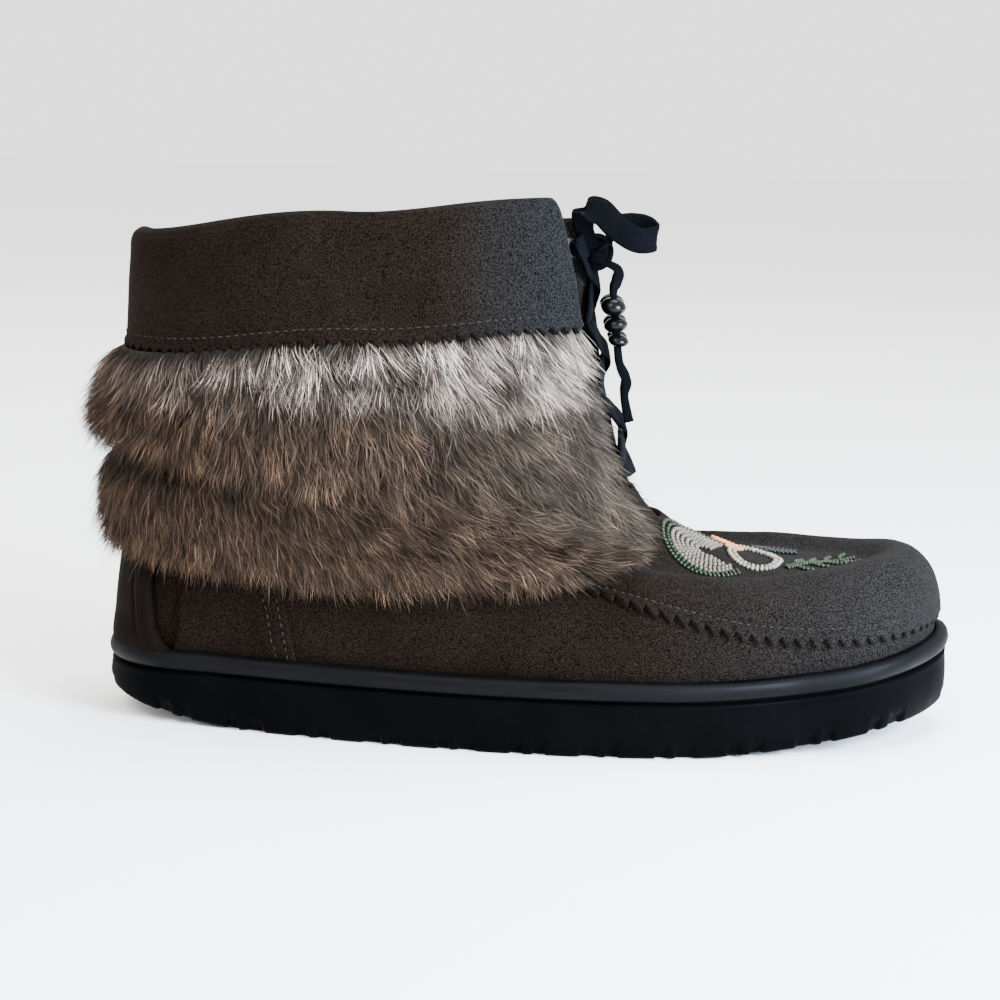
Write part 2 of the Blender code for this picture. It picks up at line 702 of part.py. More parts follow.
def make_cuff():
    """The folded collar: its outer leg hangs over the fur's top, its inner leg lines the shaft's mouth."""
    coarse = open_turns(CUFF_STEPS)
    bm = bmesh.new()
    rows = []
    for flare, drop in CUFF_ROWS:
        out = GAP + (CUFF_FLARE - GAP) * flare
        rows.append([bm.verts.new(collar_point(turn, out, CUFF_DROP * drop)) for turn in coarse])
    for out, drop in (
        (GAP, -GAP), (-UPPER_WALL * 0.25, -4 * GAP), (-UPPER_WALL * 0.75, -4 * GAP),
        (-UPPER_WALL - 2 * GAP, -GAP), (-UPPER_WALL - 2 * GAP, CUFF_LINING),
    ):
        rows.append([bm.verts.new(collar_point(turn, out, drop)) for turn in coarse])
    grid_faces(bm, rows, False)
    corners = [collar_point(turn, CUFF_FLARE, CUFF_DROP) for turn in coarse]
    edge = sum(float(np.linalg.norm(b - a)) for a, b in zip(corners, corners[1:]))
    teeth = 2 * round(edge / CUFF_TOOTH)
    fine = [coarse[0] + (coarse[-1] - coarse[0]) * i / teeth for i in range(teeth + 1)]
    low = []
    for i, turn in enumerate(fine):
        tooth = CUFF_TOOTH_DEPTH / 2 * (1 if i % 2 else -1)
        low.append(bm.verts.new(collar_point(turn, CUFF_FLARE, CUFF_DROP + tooth)))
    zipper_faces(bm, low, fine, rows[0], coarse)
    cuff = add_object("cuff", bm, SUEDE)
    solidify(cuff, CUFF_WALL, 1)


FUR_STEPS = 64
FUR_HEM_AWAY = (0.06, 0.10, 0.16, 0.20, 0.235, 0.30, 0.5)
FUR_HEM = (10.1, 9.4, 8.0, 6.4, 5.2, 4.7, 4.6)
FUR_INNER = (0.0, 0.2, 0.4, 0.6, 0.8, 1.0)
# Share of the height, share of FUR_DEPTH, and share of FUR_LOCK_DEPTH, from the top downwards
FUR_OUTER = (
    (1.00, 0.24, 0.0),
    (0.925, 0.26, 0.0),
    (0.87, 0.62, 0.4),
    (0.74, 0.95, 0.8),
    (0.58, 0.90, 1.0),
    (0.42, 0.74, 1.0),
    (0.30, 0.92, 1.0),
    (0.14, 0.95, 1.0),
    (-0.03, 0.62, 1.0),
)


def fur_point(turn, share, out):
    """A point in the fur, share of the way from its hem to its top."""
    hem = smooth(FUR_HEM_AWAY, FUR_HEM, abs((turn % 1.0) - 0.5))
    top = upper_facet(turn, TOP_LEVEL)[2] - CUFF_DROP + FUR_TUCK
    low = upper_facet(turn, hem)[2]
    if share < 0:
        return upper_facet(turn, hem, out) + np.array((0.0, 0.0, (top - low) * share))
    level = hem + (level_at(turn, top) - hem) * share
    return upper_facet(turn, level, out)


def fur_clearance(turn, share):
    """How far the fur's inside stands off the upper, over the suede overlays and over the heel's bumper."""
    over_suede = OVERLAY_WALL + 3 * GAP
    over_bumper = BUMPER_WALL + BAND_PROUD + 3 * GAP
    away = abs((turn + 0.5) % 1.0 - 0.5)
    behind = ease((BUMPER_TURN + 0.03 - away) / 0.03)
    height = fur_point(turn, share, 0.0)[2]
    below = ease((BUMPER_HEIGHT + 0.012 - height) / 0.008)
    return over_suede + (over_bumper - over_suede) * behind * below


def make_fur():
    """The pelt round the ankle: a deep band with locks, open at the front."""
    sections = []
    arc = 0.0
    turns = open_turns(FUR_STEPS)
    before = None
    for turn in turns:
        place = fur_point(turn, 0.5, FUR_DEPTH)
        arc += float(np.linalg.norm(place - before)) if before is not None else 0.0
        before = place
        ends = ease(min(turn - turns[0], turns[-1] - turn) / 0.02)
        section = [fur_point(turn, share, fur_clearance(turn, share)) for share in FUR_INNER]
        for row, (share, depth, ripple) in enumerate(FUR_OUTER):
            wave = math.cos(2 * math.pi * (arc / FUR_LOCK + 0.37 * row))
            out = FUR_DEPTH * depth * (0.7 + 0.3 * ends) + FUR_LOCK_DEPTH * 0.5 * ripple * wave * ends
            drop = 0.02 * ripple * math.cos(2 * math.pi * arc / FUR_LOCK) if share < 0 else 0.0
            out = max(out, fur_clearance(turn, share) + 0.0008)
            section.append(fur_point(turn, share + drop, out))
        sections.append(section)
    bm = bmesh.new()
    skin(bm, sections, False)
    add_object("fur_band", bm, FUR)


def ribbon(name, points, normals, width, wall):
    """A flat strap through points, its thickness along the normals."""
    sections = []
    for i, (point, normal) in enumerate(zip(points, normals)):
        ahead = points[min(i + 1, len(points) - 1)] - points[max(i - 1, 0)]
        across = np.cross(ahead, normal)
        across = across / np.linalg.norm(across) * width / 2
        lift = normal * wall
        sections.append([point - across, point + across, point + across + lift, point - across + lift])
    bm = bmesh.new()
    skin(bm, sections, False)
    return add_object(name, bm, RIBBON)


def make_crossings():
    """The lace across the slit: a bar at each end, and crosses between the eyelet pairs, as one solid."""
    spans = [((0, -1), (0, 1))]
    for row in range(EYELET_ROWS - 1):
        spans += [((row, -1), (row + 1, 1)), ((row, 1), (row + 1, -1))]
    spans.append(((EYELET_ROWS - 1, -1), (EYELET_ROWS - 1, 1)))
    lace = None
    for index, (start, end) in enumerate(spans):
        start_at, start_out = eyelet_place(*start)
        end_at, end_out = eyelet_place(*end)
        points, normals = [], []
        for i in range(7):
            share = i / 6
            middle = 4 * share * (1 - share)
            normal = start_out * (1 - share) + end_out * share
            normal = normal / np.linalg.norm(normal)
            out = EYELET_WALL + 4 * GAP + middle * LACE_STANDOFF + 0.00013 * index
            points.append(start_at * (1 - share) + end_at * share + normal * (out + 0.0012 * middle))
            normals.append(normal)
        width = LACE_WIDTH * 0.62
        if index == 0:
            lace = ribbon("lace_crossings", points, normals, width, LACE_WALL)
        else:
            boolean(lace, ribbon(f"lace_span_{index}", points, normals, width, LACE_WALL), "UNION")


KNOT_HEIGHT = 0.157
KNOT_SIZE = (0.011, 0.016, 0.012)
KNOT_OUT = 0.0085           # from the shaft's front to the knot's centre
BEAD_WIDTHS = (0.0085, 0.0080, 0.0070)
BEAD_HEIGHTS = (0.0062, 0.0053, 0.0042)
# Routes of the free lace, from the knot's centre, chosen by hand
LOOP_NEAR = (
    (-0.001, -0.0088, 0.003), (-0.004, -0.0110, 0.009), (-0.003, -0.0125, 0.0155), (0.004, -0.0130, 0.0165),
    (0.011, -0.0130, 0.0135), (0.0155, -0.0125, 0.0085), (0.0145, -0.0120, 0.0035), (0.009, -0.0105, 0.000),
    (0.0040, -0.0084, -0.0015),
)
LOOP_FAR = tuple((x * 0.9, -y, z * 0.9) for x, y, z in LOOP_NEAR)
LACE_FALL = ((0.0038, -0.0042, -0.0055), (0.0035, -0.0065, -0.0095), (0.0025, -0.0075, -0.0140))
# From the middle of the beads' underside
LACE_TAIL = (
    (0.0020, 0.0000, -0.0001), (0.0030, 0.0003, -0.0065), (0.0053, 0.0007, -0.0115),
    (0.0048, 0.0010, -0.0165), (0.0065, 0.0015, -0.0250),
)
BEAD_STEP = 0.0010          # how far each bead lies ahead of the one over it


def knot_centre():
    return upper_facet(0.5, level_at(0.5, KNOT_HEIGHT), KNOT_OUT)


def tube(name, points):
    """A plain tube through points, read from a smooth curve."""
    dense = []
    for i in range(len(points) - 1):
        before, after = points[max(i - 1, 0)], points[min(i + 2, len(points) - 1)]
        low, high = points[i], points[i + 1]
        for step in range(2):
            t = step / 2
            dense.append(0.5 * (
                2 * low + (high - before) * t
                + (2 * before - 5 * low + 4 * high - after) * t ** 2
                + (3 * low - before - 3 * high + after) * t ** 3
            ))
    dense.append(points[-1])
    curve = bpy.data.curves.new(name, "CURVE")
    curve.dimensions = "3D"
    curve.bevel_depth = LACE_TUBE / 2
    curve.bevel_resolution = 2
    curve.use_fill_caps = True
    spline = curve.splines.new("POLY")
    spline.points.add(len(dense) - 1)
    for at, point in zip(spline.points, dense):
        at.co = (*point, 1.0)
    curve.materials.append(RIBBON)
    piece = bpy.data.objects.new(name, curve)
    PART.objects.link(piece)


def ball(name, centre, size, material):
    bm = bmesh.new()
    bmesh.ops.create_uvsphere(bm, u_segments=10, v_segments=6, radius=0.5)
    for vert in bm.verts:
        vert.co = Vector(centre) + Vector((vert.co.x * size[0], vert.co.y * size[1], vert.co.z * size[2]))
    add_object(name, bm, material)


def make_free_lace():
    """The knot, the two loops of the bow, and two ends with beads."""
    knot = knot_centre()
    ball("lace_knot", knot, KNOT_SIZE, RIBBON)
    tube("lace_loop_near", [knot + np.array(point) for point in LOOP_NEAR])
    tube("lace_loop_far", [knot + np.array(point) for point in LOOP_FAR])
    for side, name in ((1, "near"), (-1, "far")):
        mirror = np.array((1.0, side, 1.0))
        fall = [knot + np.array(point) * mirror for point in LACE_FALL]
        tube(f"lace_end_{name}", fall)
        top = fall[-1][2] - BEAD_GAP
        for i, (width, height) in enumerate(zip(BEAD_WIDTHS, BEAD_HEIGHTS)):
            centre = np.array((fall[-1][0] + BEAD_STEP * i, fall[-1][1], top - height / 2))
            ball(f"bead_{name}_{i + 1}", centre, (width, width, height), BEAD)
            top -= height + BEAD_GAP
        underside = np.array((fall[-1][0], fall[-1][1], top))
        tube(f"lace_tail_{name}", [underside + np.array(point) * mirror for point in LACE_TAIL])


def clear_scene():
    for piece in list(bpy.data.objects):
        bpy.data.objects.remove(piece, do_unlink=True)


clear_scene()
PART = bpy.data.collections.new("mukluk_boot")
CUTTERS = bpy.data.collections.new("cutters")
for collection in (PART, CUTTERS):
    bpy.context.scene.collection.children.link(collection)
SUEDE = make_material("suede", (0.035, 0.032, 0.031), 0.95)
FUR = make_material("fur", (0.16, 0.125, 0.105), 0.9)
RUBBER = make_material("rubber", (0.008, 0.008, 0.010), 0.45)
LINING = make_material("lining", (0.30, 0.27, 0.23), 0.95)
RIBBON = make_material("ribbon", (0.006, 0.007, 0.009), 0.8)
BEAD = make_material("bead", (0.006, 0.006, 0.007), 0.15)
METAL = make_material("eyelet_metal", (0.06, 0.06, 0.065), 0.35, 1.0)

make_outsole()
make_insole()
make_upper()
make_vamp_plug()
make_heel_counter()
make_tongue()
make_fur()
make_cuff()
for eyelet_row in range(EYELET_ROWS):
    for eyelet_side in (-1, 1):
        make_eyelet(eyelet_row, eyelet_side)
make_crossings()
make_free_lace()
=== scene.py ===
"""The looks of a short winter boot: suede, rabbit fur, velvet lace, glass beads and a rubber cup sole.

Lengths are in metres. The sizes and the surface of the upper are those of the CAD part. Turns are shares of
a turn from the heel's back by the medial side, and levels count the rows of the upper from the sole up.
"""
import math

import bpy
import numpy as np
from mathutils import Matrix, Vector
from mathutils.bvhtree import BVHTree
from mathutils.kdtree import KDTree


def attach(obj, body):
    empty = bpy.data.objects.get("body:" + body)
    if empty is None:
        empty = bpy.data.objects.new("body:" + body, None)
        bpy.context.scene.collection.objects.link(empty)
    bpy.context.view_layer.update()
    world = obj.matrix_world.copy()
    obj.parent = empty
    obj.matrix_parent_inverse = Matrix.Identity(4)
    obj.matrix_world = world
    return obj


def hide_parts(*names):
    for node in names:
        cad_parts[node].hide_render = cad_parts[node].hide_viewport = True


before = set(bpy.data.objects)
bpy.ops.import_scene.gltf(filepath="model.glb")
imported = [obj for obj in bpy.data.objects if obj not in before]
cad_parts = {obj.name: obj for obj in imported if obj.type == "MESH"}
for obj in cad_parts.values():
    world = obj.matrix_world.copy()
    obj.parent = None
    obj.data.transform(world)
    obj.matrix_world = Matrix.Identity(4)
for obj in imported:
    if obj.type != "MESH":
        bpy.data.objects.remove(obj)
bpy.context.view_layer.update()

SOLE_LENGTH = 0.285
HEEL_REACH = 0.063          # from the origin, under the ankle, back to the end of the sole
LATERAL_HALF = 0.054        # half width of the sole towards -Y
MEDIAL_HALF = 0.047         # half width of the sole towards +Y
TOE_SWING = 0.005           # how far the toe tip leans towards +Y
BOOT_HEIGHT = 0.174         # floor to the top of the shaft
RIM_HEIGHT = 0.025          # floor to the top of the rim at the waist
RIM_SPRING = 0.010          # how much the rim rises towards the toe tip
TREAD_SPRING = 0.0135       # how much the tread rises towards the toe tip
HEEL_BEVEL = 0.006          # how much the tread rises at the very back
SPRING_START = 0.125        # X where the toe starts to rise
BEVEL_START = -0.009        # X where the back of the heel starts to rise
SOLE_FLOOR = 0.012          # rubber under the foot
CUP_WALL = 0.0042           # rubber beside the foot
BAND_HEIGHT = 0.0062        # smooth raised band along the rim
GROOVE_DEPTH = 0.0022       # groove under that band
TREAD_INSET = 0.0040        # the tread's edge lies this far inside the rim
BUMPER_HEIGHT = 0.066       # floor to the top of the heel bumper
BUMPER_WALL = 0.0032
BUMPER_TURN = 0.098         # share of a turn where the bumper meets the rim
BAND_PROUD = 0.0008         # how far that border stands off the bumper
NOTCH_COUNT = 22            # notches along each side of the sole
NOTCH_WIDTH = 0.0052
NOTCH_DEPTH = 0.0045
LUG_GAP = 0.0045            # grooves between the tread blocks
LUG_DEPTH = 0.0035
LUG_PITCH = 0.017
UPPER_WALL = 0.0022
OVERLAY_WALL = 0.0013       # suede of the toe overlay and the heel counter
SHAFT_BACK = -0.053         # X of the shaft's back at the ankle
SHAFT_FRONT = 0.096         # X of the shaft's front above the ankle
SHAFT_HALF = 0.0385         # half width of the shaft
TRAY_TILT = 0.055           # rise per length across the toe, towards +Y
SLIT_WIDTH = 0.015          # opening down the front of the shaft
TONGUE_WALL = 0.0022
TONGUE_WIDTH = 0.031
CUFF_WALL = 0.0022
CUFF_FLARE = 0.0036         # how far the cuff's lower edge stands off the shaft
CUFF_DROP = 0.041           # height of the folded collar
CUFF_TOOTH = 0.0046         # pitch of the pinked edge
FUR_DEPTH = 0.0135          # how far the fur stands off the shaft
FUR_TUCK = 0.004            # how far the fur starts under the cuff's edge
FRONT_OPENING = 0.033       # bare width across the front, left by cuff and fur
EYELET_ROWS = 4
EYELET_OUTER = 0.0034
EYELET_BORE = 0.0018
EYELET_WALL = 0.0008
EYELET_EDGE = 0.0045        # slit edge to eyelet centre
EYELET_SIDES = 32
LACE_WIDTH = 0.0085
LACE_WALL = 0.0012
GAP = 0.0003                # clearance between touching pieces
HEEL_BACK = -HEEL_REACH
TOE_TIP = HEEL_BACK + SOLE_LENGTH
RING_NAMES = (
    "reach", "front", "lateral", "medial", "round", "z_back", "z_side", "z_front", "tilt", "spring",
)
RINGS = (
    (-0.10, -0.010, -0.08, -0.08, 0.00, 0.050, 0.050, 0.040, 0.0, 1.00),
    (0.05, 0.000, 0.00, 0.00, 0.00, 0.120, 0.120, 0.117, 0.2, 0.66),
    (0.25, 0.035, 0.25, 0.25, 0.10, 0.180, 0.170, 0.181, 0.6, 0.33),
    (0.45, 0.085, 0.48, 0.45, 0.45, 0.221, 0.195, 0.228, 1.0, 0.00),
    (0.58, 0.145, 0.62, 0.60, 0.80, 0.255, 0.221, 0.221, 1.0, 0.00),
    (0.68, 0.215, 0.72, 0.70, 0.95, 0.289, 0.248, 0.193, 0.9, 0.00),
    (0.76, 0.400, 0.80, 0.78, 1.00, 0.336, 0.289, 0.188, 0.6, 0.00),
    (0.84, 0.590, 0.86, 0.85, 1.00, 0.383, 0.336, 0.218, 0.3, 0.00),
    (0.90, 0.745, 0.92, 0.92, 1.00, 0.436, 0.396, 0.272, 0.1, 0.00),
    (0.96, 0.840, 0.96, 0.96, 1.00, 0.497, 0.477, 0.349, 0.0, 0.00),
    (1.00, 0.915, 1.00, 1.00, 1.00, 0.584, 0.584, 0.470, 0.0, 0.00),
    (1.00, 0.965, 1.00, 1.00, 1.00, 0.691, 0.705, 0.604, 0.0, 0.00),
    (0.99, 1.000, 1.00, 1.00, 1.00, 0.792, 0.819, 0.785, 0.0, 0.00),
    (0.97, 1.050, 0.98, 0.98, 1.00, 0.910, 0.970, 1.000, 0.0, 0.00),
)
WIDTHS = (                  # share of the length, then of the lateral and the medial half width
    (0.00, 1.15, 1.15), (0.15, 0.86, 0.97), (0.32, 0.92, 0.86), (0.48, 1.00, 0.88),
    (0.66, 1.09, 1.03), (0.80, 1.15, 1.17), (0.90, 1.28, 1.26), (1.00, 1.34, 1.30),
)
TOP_LEVEL = len(RINGS) + 1
SLIT_LEVEL = 11             # row where the front slit ends
PLUG_REACH = 0.229          # share of a turn from the toe to the overlay's end
PLUG_TOOTH = 0.0050
PLUG_AWAY = (0.0, 0.06, 0.115, 0.16, 0.184, 0.208, PLUG_REACH)
PLUG_EDGE = (1.75, 2.0, 2.25, 2.6, 3.0, 3.7, 5.0)
COUNTER_REACH = 0.159       # share of a turn from the heel's back to the counter's front edge, at the rim
COUNTER_LEAN = 0.004        # how much less that is, a level higher
FUR_HEM_AWAY = (0.06, 0.10, 0.16, 0.20, 0.235, 0.30, 0.5)
FUR_HEM = (10.1, 9.4, 8.0, 6.4, 5.2, 4.7, 4.6)
KNOT_HEIGHT = 0.157
KNOT_SIZE = (0.011, 0.016, 0.012)
KNOT_OUT = 0.0085           # from the shaft's front to the knot's centre
BEAD_WIDTHS = (0.0085, 0.0080, 0.0070)
BEAD_HEIGHTS = (0.0062, 0.0053, 0.0042)
BEAD_GAP = 0.0003
BEAD_STEP = 0.0010          # how far each bead lies ahead of the one over it
LACE_FALL = ((0.0038, -0.0042, -0.0055), (0.0035, -0.0065, -0.0095), (0.0025, -0.0075, -0.0140))
LACE_TAIL = (
    (0.0020, 0.0000, -0.0001), (0.0030, 0.0003, -0.0065), (0.0053, 0.0007, -0.0115),
    (0.0048, 0.0010, -0.0165), (0.0065, 0.0015, -0.0250),
)
BUMPER_SHAPE = (
    (-0.20, 1.00), (-0.08, 1.00), (0.00, 0.93), (0.06, 0.83), (0.18, 0.75), (0.44, 0.70), (0.65, 0.67),
    (0.80, 0.61), (0.90, 0.50), (0.97, 0.33), (1.00, 0.16),
)

# The photo's camera: place, then yaw, pitch and roll in degrees, and lens and sensor in millimetres
CAMERA_PLACE = (0.0805, -0.7599, 0.208)
CAMERA_ANGLES = (0.94, 10.0, 1.41)
CAMERA_LENS = 81.9
CAMERA_SENSOR = 36.0

# Studio: strength of the white surround, then each light's place, target, diameter, power and colour
WORLD_LIGHT = 2.15
FLOOR_HALF = 6.0
FLOOR_COLOUR = (0.95, 0.95, 0.95, 1.0)
LIGHTS = (
    ("key", (-0.55, -1.10, 1.50), (0.07, 0.0, 0.09), 0.9, 32.0, (1.0, 0.88, 0.76)),
    ("top", (0.30, 0.25, 1.60), (0.08, 0.0, 0.10), 1.0, 40.0, (0.95, 0.97, 1.0)),
    ("front", (0.72, -0.55, 0.42), (0.17, -0.02, 0.07), 0.5, 62.0, (0.66, 0.81, 1.0)),
)

# Lace: routes from the knot's centre, with widths as shares of LACE_WIDTH at places along the route
BOW = (
    (-0.0010, -0.0068, 0.0020), (-0.0045, -0.0090, 0.0080), (-0.0042, -0.0115, 0.0135),
    (0.0010, -0.0128, 0.0135), (0.0060, -0.0136, 0.0090), (0.0130, -0.0138, 0.0050),
    (0.0190, -0.0100, 0.0058), (0.0150, -0.0040, 0.0090), (0.0080, -0.0030, 0.0090),
    (0.0030, -0.0062, 0.0035), (0.0005, -0.0050, -0.0015),
)
KNOT_BACK = 0.0035          # how far knot and bow sit back from the CAD knot's centre
BOW_ACROSS = (
    (1.0, 0.0, 0.0), (1.0, 0.0, 0.15), (0.85, 0.15, 0.55), (0.45, 0.15, 0.85), (0.25, 0.05, 1.0),
    (0.10, 0.0, 1.0), (0.10, 0.15, 1.0), (0.10, 0.20, 1.0), (0.30, 0.20, 0.90), (0.60, 0.30, 0.60),
    (0.60, 0.60, 0.0), (0.80, 0.50, 0.0), (0.80, 0.50, 0.0), (0.80, 0.50, 0.0), (0.90, 0.30, 0.0),
    (0.95, 0.20, 0.0), (0.95, 0.20, 0.0), (0.95, 0.30, 0.0), (0.95, 0.20, 0.0),
)
LACE_STEPS = 8
LACE_WIDTHS = (
    (0.0, 0.45), (1.0, 0.80), (2.0, 1.0), (6.0, 1.0), (8.0, 0.85), (9.0, 0.45), (10.0, 0.35), (11.0, 0.42),
    (12.0, 0.40), (13.0, 0.28), (14.0, 0.28), (15.0, 0.34), (16.0, 0.40), (17.0, 0.30), (18.0, 0.42),
)
LACING_LIFT = 0.0036        # how far the lacing lies off the shaft beside an eyelet
LACING_SHOULDER = 0.0012    # and how much further a third of the way across
LACING_STEP = 0.0005        # how much further one band lies than the band that it crosses
LACING_DIP = 0.0035         # how far it goes in through an eyelet
LACING_LEAD = 0.0022
LACING_WIDTHS = (
    (0, 0.0028), (0.14, 0.0034), (0.32, 0.0084), (0.5, 0.0100), (0.68, 0.0084), (0.86, 0.0034), (1, 0.0028),
)
KNOT_WRAPS = ((0.0, 0.0, 0.0050), (24.0, 18.0, 0.0042), (-28.0, -14.0, 0.0038))     # tilt, lean, width
WRAP_STEPS = 40
BEAD_LEAN = (7.0, -5.0, 9.0)
BEAD_PITCH = (6.0, -8.0, 10.0)

# Soft forms of the suede: centre, radii and height, then waves of height, size and seed
FOOT_DENTS = (
    ((0.217, -0.004, 0.048), (0.008, 0.024, 0.006), -0.0016),
    ((0.219, -0.012, 0.0385), (0.010, 0.034, 0.0030), -0.0022),
    ((0.160, -0.034, 0.057), (0.032, 0.008, 0.008), -0.0024),
    ((0.192, -0.025, 0.057), (0.018, 0.009, 0.008), -0.0018),
    ((0.145, 0.037, 0.060), (0.036, 0.010, 0.009), -0.0036),
    ((0.185, 0.028, 0.060), (0.022, 0.012, 0.009), -0.0032),
    ((0.165, -0.013, 0.0525), (0.032, 0.011, 0.006), 0.0022),
    ((0.130, -0.050, 0.046), (0.028, 0.020, 0.010), 0.0010),
    ((0.100, -0.052, 0.050), (0.012, 0.020, 0.008), -0.0009),
    ((0.060, -0.050, 0.038), (0.040, 0.020, 0.007), 0.0008),
    ((0.020, -0.046, 0.042), (0.014, 0.020, 0.012), -0.0008),
    ((0.165, -0.048, 0.050), (0.026, 0.020, 0.006), 0.0012),
    ((0.130, 0.046, 0.048), (0.030, 0.020, 0.010), 0.0010),
    ((0.085, 0.046, 0.046), (0.014, 0.020, 0.010), -0.0009),
    ((0.030, 0.042, 0.040), (0.030, 0.020, 0.010), 0.0008),
)
CUFF_DENTS = (
    ((0.070, -0.035, 0.158), (0.010, 0.015, 0.016), -0.0010),
    ((0.085, -0.028, 0.150), (0.008, 0.015, 0.020), 0.0010),
    ((0.045, -0.042, 0.150), (0.022, 0.020, 0.012), 0.0009),
    ((0.010, -0.042, 0.152), (0.016, 0.020, 0.018), -0.0008),
    ((-0.025, -0.038, 0.148), (0.018, 0.020, 0.012), 0.0008),
    ((0.020, 0.042, 0.150), (0.020, 0.020, 0.014), -0.0009),
    ((0.060, 0.036, 0.155), (0.018, 0.020, 0.014), 0.0008),
)
FOOT_RELIEF = (FOOT_DENTS, (0.00035, 0.05, 3), (0.00012, 0.016, 4))
CUFF_RELIEF = (CUFF_DENTS, (0.00045, 0.045, 11), (0.00015, 0.014, 12))

# Upper, overlays and cuff
UPPER_COLUMNS = 181
PLUG_TOOTH_STEPS = 6
PLUG_TOOTH_DEPTH = 0.0034
PLUG_SEAM = 0.0046          # toothed edge to stitch line
PLUG_FINE = 0.0090          # width of its border of narrow rows
PLUG_TOP = 10.4             # level of its upper edge
COUNTER_SEAMS = (0.0022, 0.0068)
PLUG_STITCH = (0.0026, 0.0019, 0.00055)     # pitch, length and thickness
COUNTER_STITCH = (0.0027, 0.0018, 0.0005)
CUFF_STITCH = (0.0028, 0.0019, 0.0005)
CUFF_TOOTH_STEPS = 6
CUFF_SEAM = 0.0040
CUFF_TEETH = 0.0027
CUFF_CORNER = 0.0020
TONGUE_SWELL = 0.0048       # how far the tongue swells out between the edges of the slit
CUFF_SWAY = (0.0018, 0.0058)    # how much the top is higher on the outer side and lower on the inner side
CUFF_LIFT = ((0.0, 0.0054), (0.04, 0.0048), (0.15, 0.0020), (0.25, 0.0002), (0.5, 0.0006))
SHAFT_CUT = 0.20            # levels that the shaft ends under the cuff's roll
FRONT_CUT = 0.55            # levels more beside the slit
FRONT_OPENING_TURN = 0.074
CUFF_PROFILE = (
    (-0.0048, -0.0100), (-0.0049, -0.0040), (-0.0046, -0.0005), (-0.0034, 0.0018), (-0.0014, 0.0030),
    (0.0008, 0.0028), (0.0026, 0.0012), (0.0034, -0.0015), (0.0037, -0.0050),
)

# Fur: loft as a share of FUR_DEPTH by share of the height, and the crease across the heel
FUR_LOFT = (
    (0.0, 0.55), (0.08, 0.80), (0.18, 1.00), (0.35, 1.00), (0.60, 1.05), (0.80, 1.05), (0.88, 1.00),
    (0.94, 0.85), (1.0, 0.60),
)
CREASE_SHARE = 0.66
CREASE_SLOPE = 0.38
CREASE_REACH = 0.17
CREASE_WIDTH = 0.052
CREASE_DEPTH = 0.50
HEEL_LOFT = (1.15, 0.62)    # above and below the crease
FUR_FOOT = ((0.0, 0.13), (0.12, 0.09), (0.20, 0.055), (0.27, 0.05), (0.33, 0.09), (0.43, 0.16))
SEAM_TURN = 0.719
LOCKS = 1500
LOCK_SPAN = (0.24, 0.075)   # metres round and up the pelt, for shares of its grid
LOCK_PULL = 180.0
FUR_GRID = (240, 44)         # columns and rows of the pelt's ground
FUR_LAYERS = 4
HAIRS_PER_LAYER = 28000
HAIR_LENGTH = (0.0075, 0.0135)
HAIR_WIDTH = (0.00013, 0.00023)
HAIR_LEAN = 0.62            # outwards, for 1 downwards
HAIR_STRAY = (0.14, 0.18, 0.35)     # spread of its lean, its slide sideways and its face
HAIR_STEPS = (0.0, 0.34, 0.68, 1.0)
HAIR_TAPER = (0.8, 1.0, 0.7)        # width at all steps but the tip
HAIR_TINT = (0.0, 0.32, 0.90, 1.25)     # share of the tip's colour at each step
LOCK_BEND = (0.12, 0.20)
GUARD_SHARE = 0.07          # share of long guard hairs
GUARD_LENGTH = (1.15, 1.5)
GUARD_WIDTH = 1.15
GUARD_LEAN = 0.25
FUR_GROUND = 0.42           # the dark ground's height as a share of the hair's
FUR_SKIN = (0.0017, 0.0022)     # from the shaft to the pelt's inside, and its least outside
HAIR_SWEEP = (
    (0.58, 0.40), (0.64, 0.42), (0.70, 0.32), (0.74, 0.08), (0.80, -0.04), (0.90, -0.10), (1.00, 0.0),
    (1.10, 0.10), (1.20, 0.04), (1.26, -0.08), (1.30, -0.32), (1.36, -0.42), (1.42, -0.40),
)
FUR_GREY = (
    (0.58, 1.0), (0.66, 0.9), (0.70, 0.70), (0.74, 0.35), (0.80, 0.25), (0.90, 0.12), (1.0, 0.10),
    (1.2, 0.3), (1.42, 1.0),
)
FUR_PALE = (
    (0.58, 0.9), (0.70, 1.0), (0.76, 1.0), (0.80, 0.8), (0.835, 0.35), (0.86, 0.60), (0.89, 0.25),
    (0.91, 0.40), (0.93, 0.15), (1.0, 0.05), (1.2, 0.6), (1.42, 1.0),
)
FUR_LIGHT = ((0, 0.14), (0.34, 0.34), (0.40, 0.65), (0.75, 1.05), (0.80, 1.7), (1.0, 2.8))
FUR_BROWN = (0.043, 0.0240, 0.0138)
FUR_SILVER = (0.038, 0.0280, 0.0200)
FUR_BRIGHT = (0.38, 0.310, 0.265)
FUR_ROOT = (0.006, 0.0040, 0.0030)

